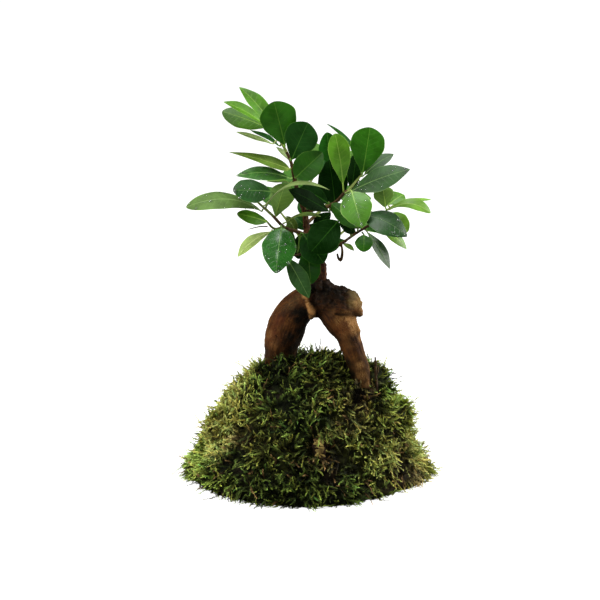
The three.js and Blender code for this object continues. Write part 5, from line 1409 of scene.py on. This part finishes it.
    total = 0
    total += layer("look_moss_low", 5600, 2.6, 5.0, 1.5, 14, 1.0, 0.9, 0.36, 0.16, seed=11, wiggle=0.05, hollow_cut=0.5)
    total += layer("look_moss_mid", 6000, 4.2, 7.6, 1.95, 15, 1.05, 0.85, 1.52, 0.32, seed=12, curl=1.8, wiggle=0.10, plump=0.50, open_deg=48.0)
    total += layer("look_moss_tall", 2200, 5.5, 10.5, 1.85, 19, 1.10, 0.85, 2.40, 0.32, seed=13, pw=1.6, curl=2.6, wiggle=0.14, plump=0.50, open_deg=46.0)
    total += layer("look_moss_wisp", 650, 9.0, 13.5, 1.7, 24, 0.6, 1.2, 2.3, 0.28, seed=14, pw=1.4, curl=1.6, wiggle=0.10, plump=0.45, open_deg=46.0)
    return total


moss_count = build_moss()


# ---------------------------------------------------------------- soil inside the moss
def build_soil():
    P, n = mound_grid(160, 60, 11.6, 1.0, 230)
    flat = P.reshape(-1, 3)
    flat = flat + n.reshape(-1, 3) * ((fbm(flat / 3.0, 431, 3) - 0.5) * 1.6 * (flat[:, 2] > 1.0))[:, None]
    flat[:, 2] = np.where(flat[:, 2] > 0.5, np.maximum(flat[:, 2], 0.3), 0.0)
    V, T = close_bottom(flat.reshape(P.shape), grid_tris(160, 60))
    M = Mat("soil_crumb")
    co = M.coords()
    a = M.noise(co, 300.0, 6.0, 0.7)
    c = M.voronoi(co, 420.0)
    col = M.ramp(a, [(0.3, srgb(20, 14, 9)), (0.5, srgb(44, 32, 21)), (0.7, srgb(78, 58, 38))])
    M.base(col)
    M.put(rough=0.92, spec=0.15)
    M.put(normal=M.bump(M.math("ADD", a, M.math("MULTIPLY", c, 0.6)), 0.8, 0.8))
    ob = make_piece("look_soil", V, T, M.m, True)
    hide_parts("soil_ball")


build_soil()


# ---------------------------------------------------------------- bark bit and dead stalk
def build_chip():
    rng = np.random.default_rng(31)
    n = unit(chip_n)
    a = unit(np.cross([0, 0, 1.0], n))
    b = np.cross(n, a)
    parts = []
    # across, up, depth, half width, half height, turn, tilt, shade
    flakes = [
        (-1.6, 5.0, 2.4, 2.6, 1.6, 0.50, 0.60, 0.85), (1.4, 5.4, 1.8, 2.2, 1.1, -0.50, -0.30, 0.50), (0.8, 3.4, 2.8, 1.8, 0.9, -0.60, 0.50, 1.00),
        (-2.6, 2.2, 2.0, 1.6, 0.7, 0.30, 0.40, 0.35), (0.6, 1.4, 2.7, 2.9, 0.5, -0.22, 0.50, 0.90), (-0.2, -0.8, 1.9, 3.2, 1.9, 0.10, 0.15, 0.48),
        (2.4, -1.6, 1.2, 1.6, 1.4, 0.70, 0.20, 0.20), (-2.4, -3.4, 2.5, 1.5, 1.2, 0.70, 0.50, 0.95), (-0.6, -4.4, 2.0, 1.2, 0.6, -0.90, 0.40, 0.70),
        (1.6, -3.9, 2.3, 2.2, 0.5, -0.50, 0.45, 0.75), (0.6, -5.6, 1.2, 2.0, 0.7, 0.30, 0.30, 0.30),
        (0.0, 0.6, 0.5, 4.6, 5.8, 0.0, 0.0, 0.0), (0.3, -3.6, 0.4, 3.4, 3.8, 0.4, 0.0, 0.0)]
    shades = []
    for x, y, dep, w, h, turn, tilt, shd in flakes:
        rings, seg = 5, 22
        ang = 2 * np.pi * np.arange(seg) / seg
        rad = 1 + 0.14 * np.sin(3 * ang + rng.uniform(0, 6)) + 0.12 * np.sin(5 * ang + rng.uniform(0, 6)) + rng.normal(0, 0.06, seg)
        top, bot = [], []
        for r in np.linspace(0.0, 1.0, rings):
            px = w * r * rad * np.cos(ang)
            py = h * r * rad * np.sin(ang)
            cx = px * math.cos(turn) - py * math.sin(turn)
            cy = px * math.sin(turn) + py * math.cos(turn)
            lift = dep - 0.055 * px * px + tilt * py * 1.2 + 0.5 * (fbm(np.stack([cx, cy, ang * 0], 1) / 1.3 + x, 33, 3) - 0.5)
            th = 0.26 * math.sqrt(max(0.0, 1 - r ** 3)) + 0.05
            base = chip_c + np.outer(cx + x, a) + np.outer(cy + y, b)
            top.append(base + np.outer(lift + th, n))
            bot.append(base + np.outer(lift - th, n))
        V = np.concatenate(top + bot)
        shades.append(np.full(len(V), shd))
        tr = []
        o = rings * seg
        for r in range(rings - 1):
            for k in range(seg):
                p, q = r * seg + k, r * seg + (k + 1) % seg
                tr += [[p, p + seg, q + seg], [p, q + seg, q], [o + p, o + q + seg, o + p + seg], [o + p, o + q, o + q + seg]]
        last = (rings - 1) * seg
        for k in range(seg):
            p, q = last + k, last + (k + 1) % seg
            tr += [[p, o + p, o + q], [p, o + q, q]]
        parts.append((V, np.array(tr)))
    V, T = join(parts)
    M = Mat("dry_bark")
    co = M.coords()
    s = M.scaled(co, (1.0, 1.0, 0.35))
    f = M.noise(s, 700.0, 5.0, 0.65)
    g = M.noise(co, 160.0, 3.0, 0.5)
    col = M.ramp(M.math("ADD", M.math("MULTIPLY", f, 0.5), M.math("MULTIPLY", g, 0.5)),
                 [(0.32, srgb(96, 78, 36)), (0.47, srgb(150, 128, 70)), (0.58, srgb(184, 164, 98)), (0.70, srgb(222, 206, 150))])
    col = M.mix(M.span(M.attr("shade"), 0.95, 0.15), col, srgb(30, 14, 4))
    M.base(col)
    M.put(rough=0.75, spec=0.12)
    M.put(normal=M.bump(f, 0.7, 0.5))
    ob = make_piece("look_bark_chip", V, T, M.m, True, dict(shade=np.concatenate(shades)))
    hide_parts("bark_chip")

    st = catmull([[46.54, -13.10, 61.52, .95], [46.7, -13.60, 68.52, .95], [45.8, -13.40, 79.52, .8], [45.8, -12.6, 85.6, .75], [45.4, -12.40, 90.52, .45]], 0.7)
    st[:, 3] *= 1 + 0.14 * np.sin(np.arange(len(st)) * 1.9)
    q = catmull([[46.1, -13.5, 76.6, .55], [47.5, -14.3, 81.1, .45], [47.9, -14.1, 84.1, .25]], 0.7)
    V, T = join([tube_mesh(st, 12)[:2], tube_mesh(q, 8)[:2]])
    nn = normals_of(V, T)
    V = V + nn * ((fbm(V * np.array([1.6, 1.6, 0.35]), 36, 3) - 0.5) * 0.5)[:, None]
    M = Mat("dead_stalk")
    co = M.coords()
    f = M.noise(M.scaled(co, (1.0, 1.0, 0.2)), 1100.0, 4.0, 0.6)
    M.base(M.ramp(f, [(0.3, srgb(30, 20, 12)), (0.5, srgb(66, 48, 30)), (0.72, srgb(110, 86, 56))]))
    M.put(rough=0.8, spec=0.2)
    M.put(normal=M.bump(f, 0.6, 0.3))
    ob = make_piece("look_dry_stalk", V, T, M.m, True)
    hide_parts("dry_stalk")


build_chip()
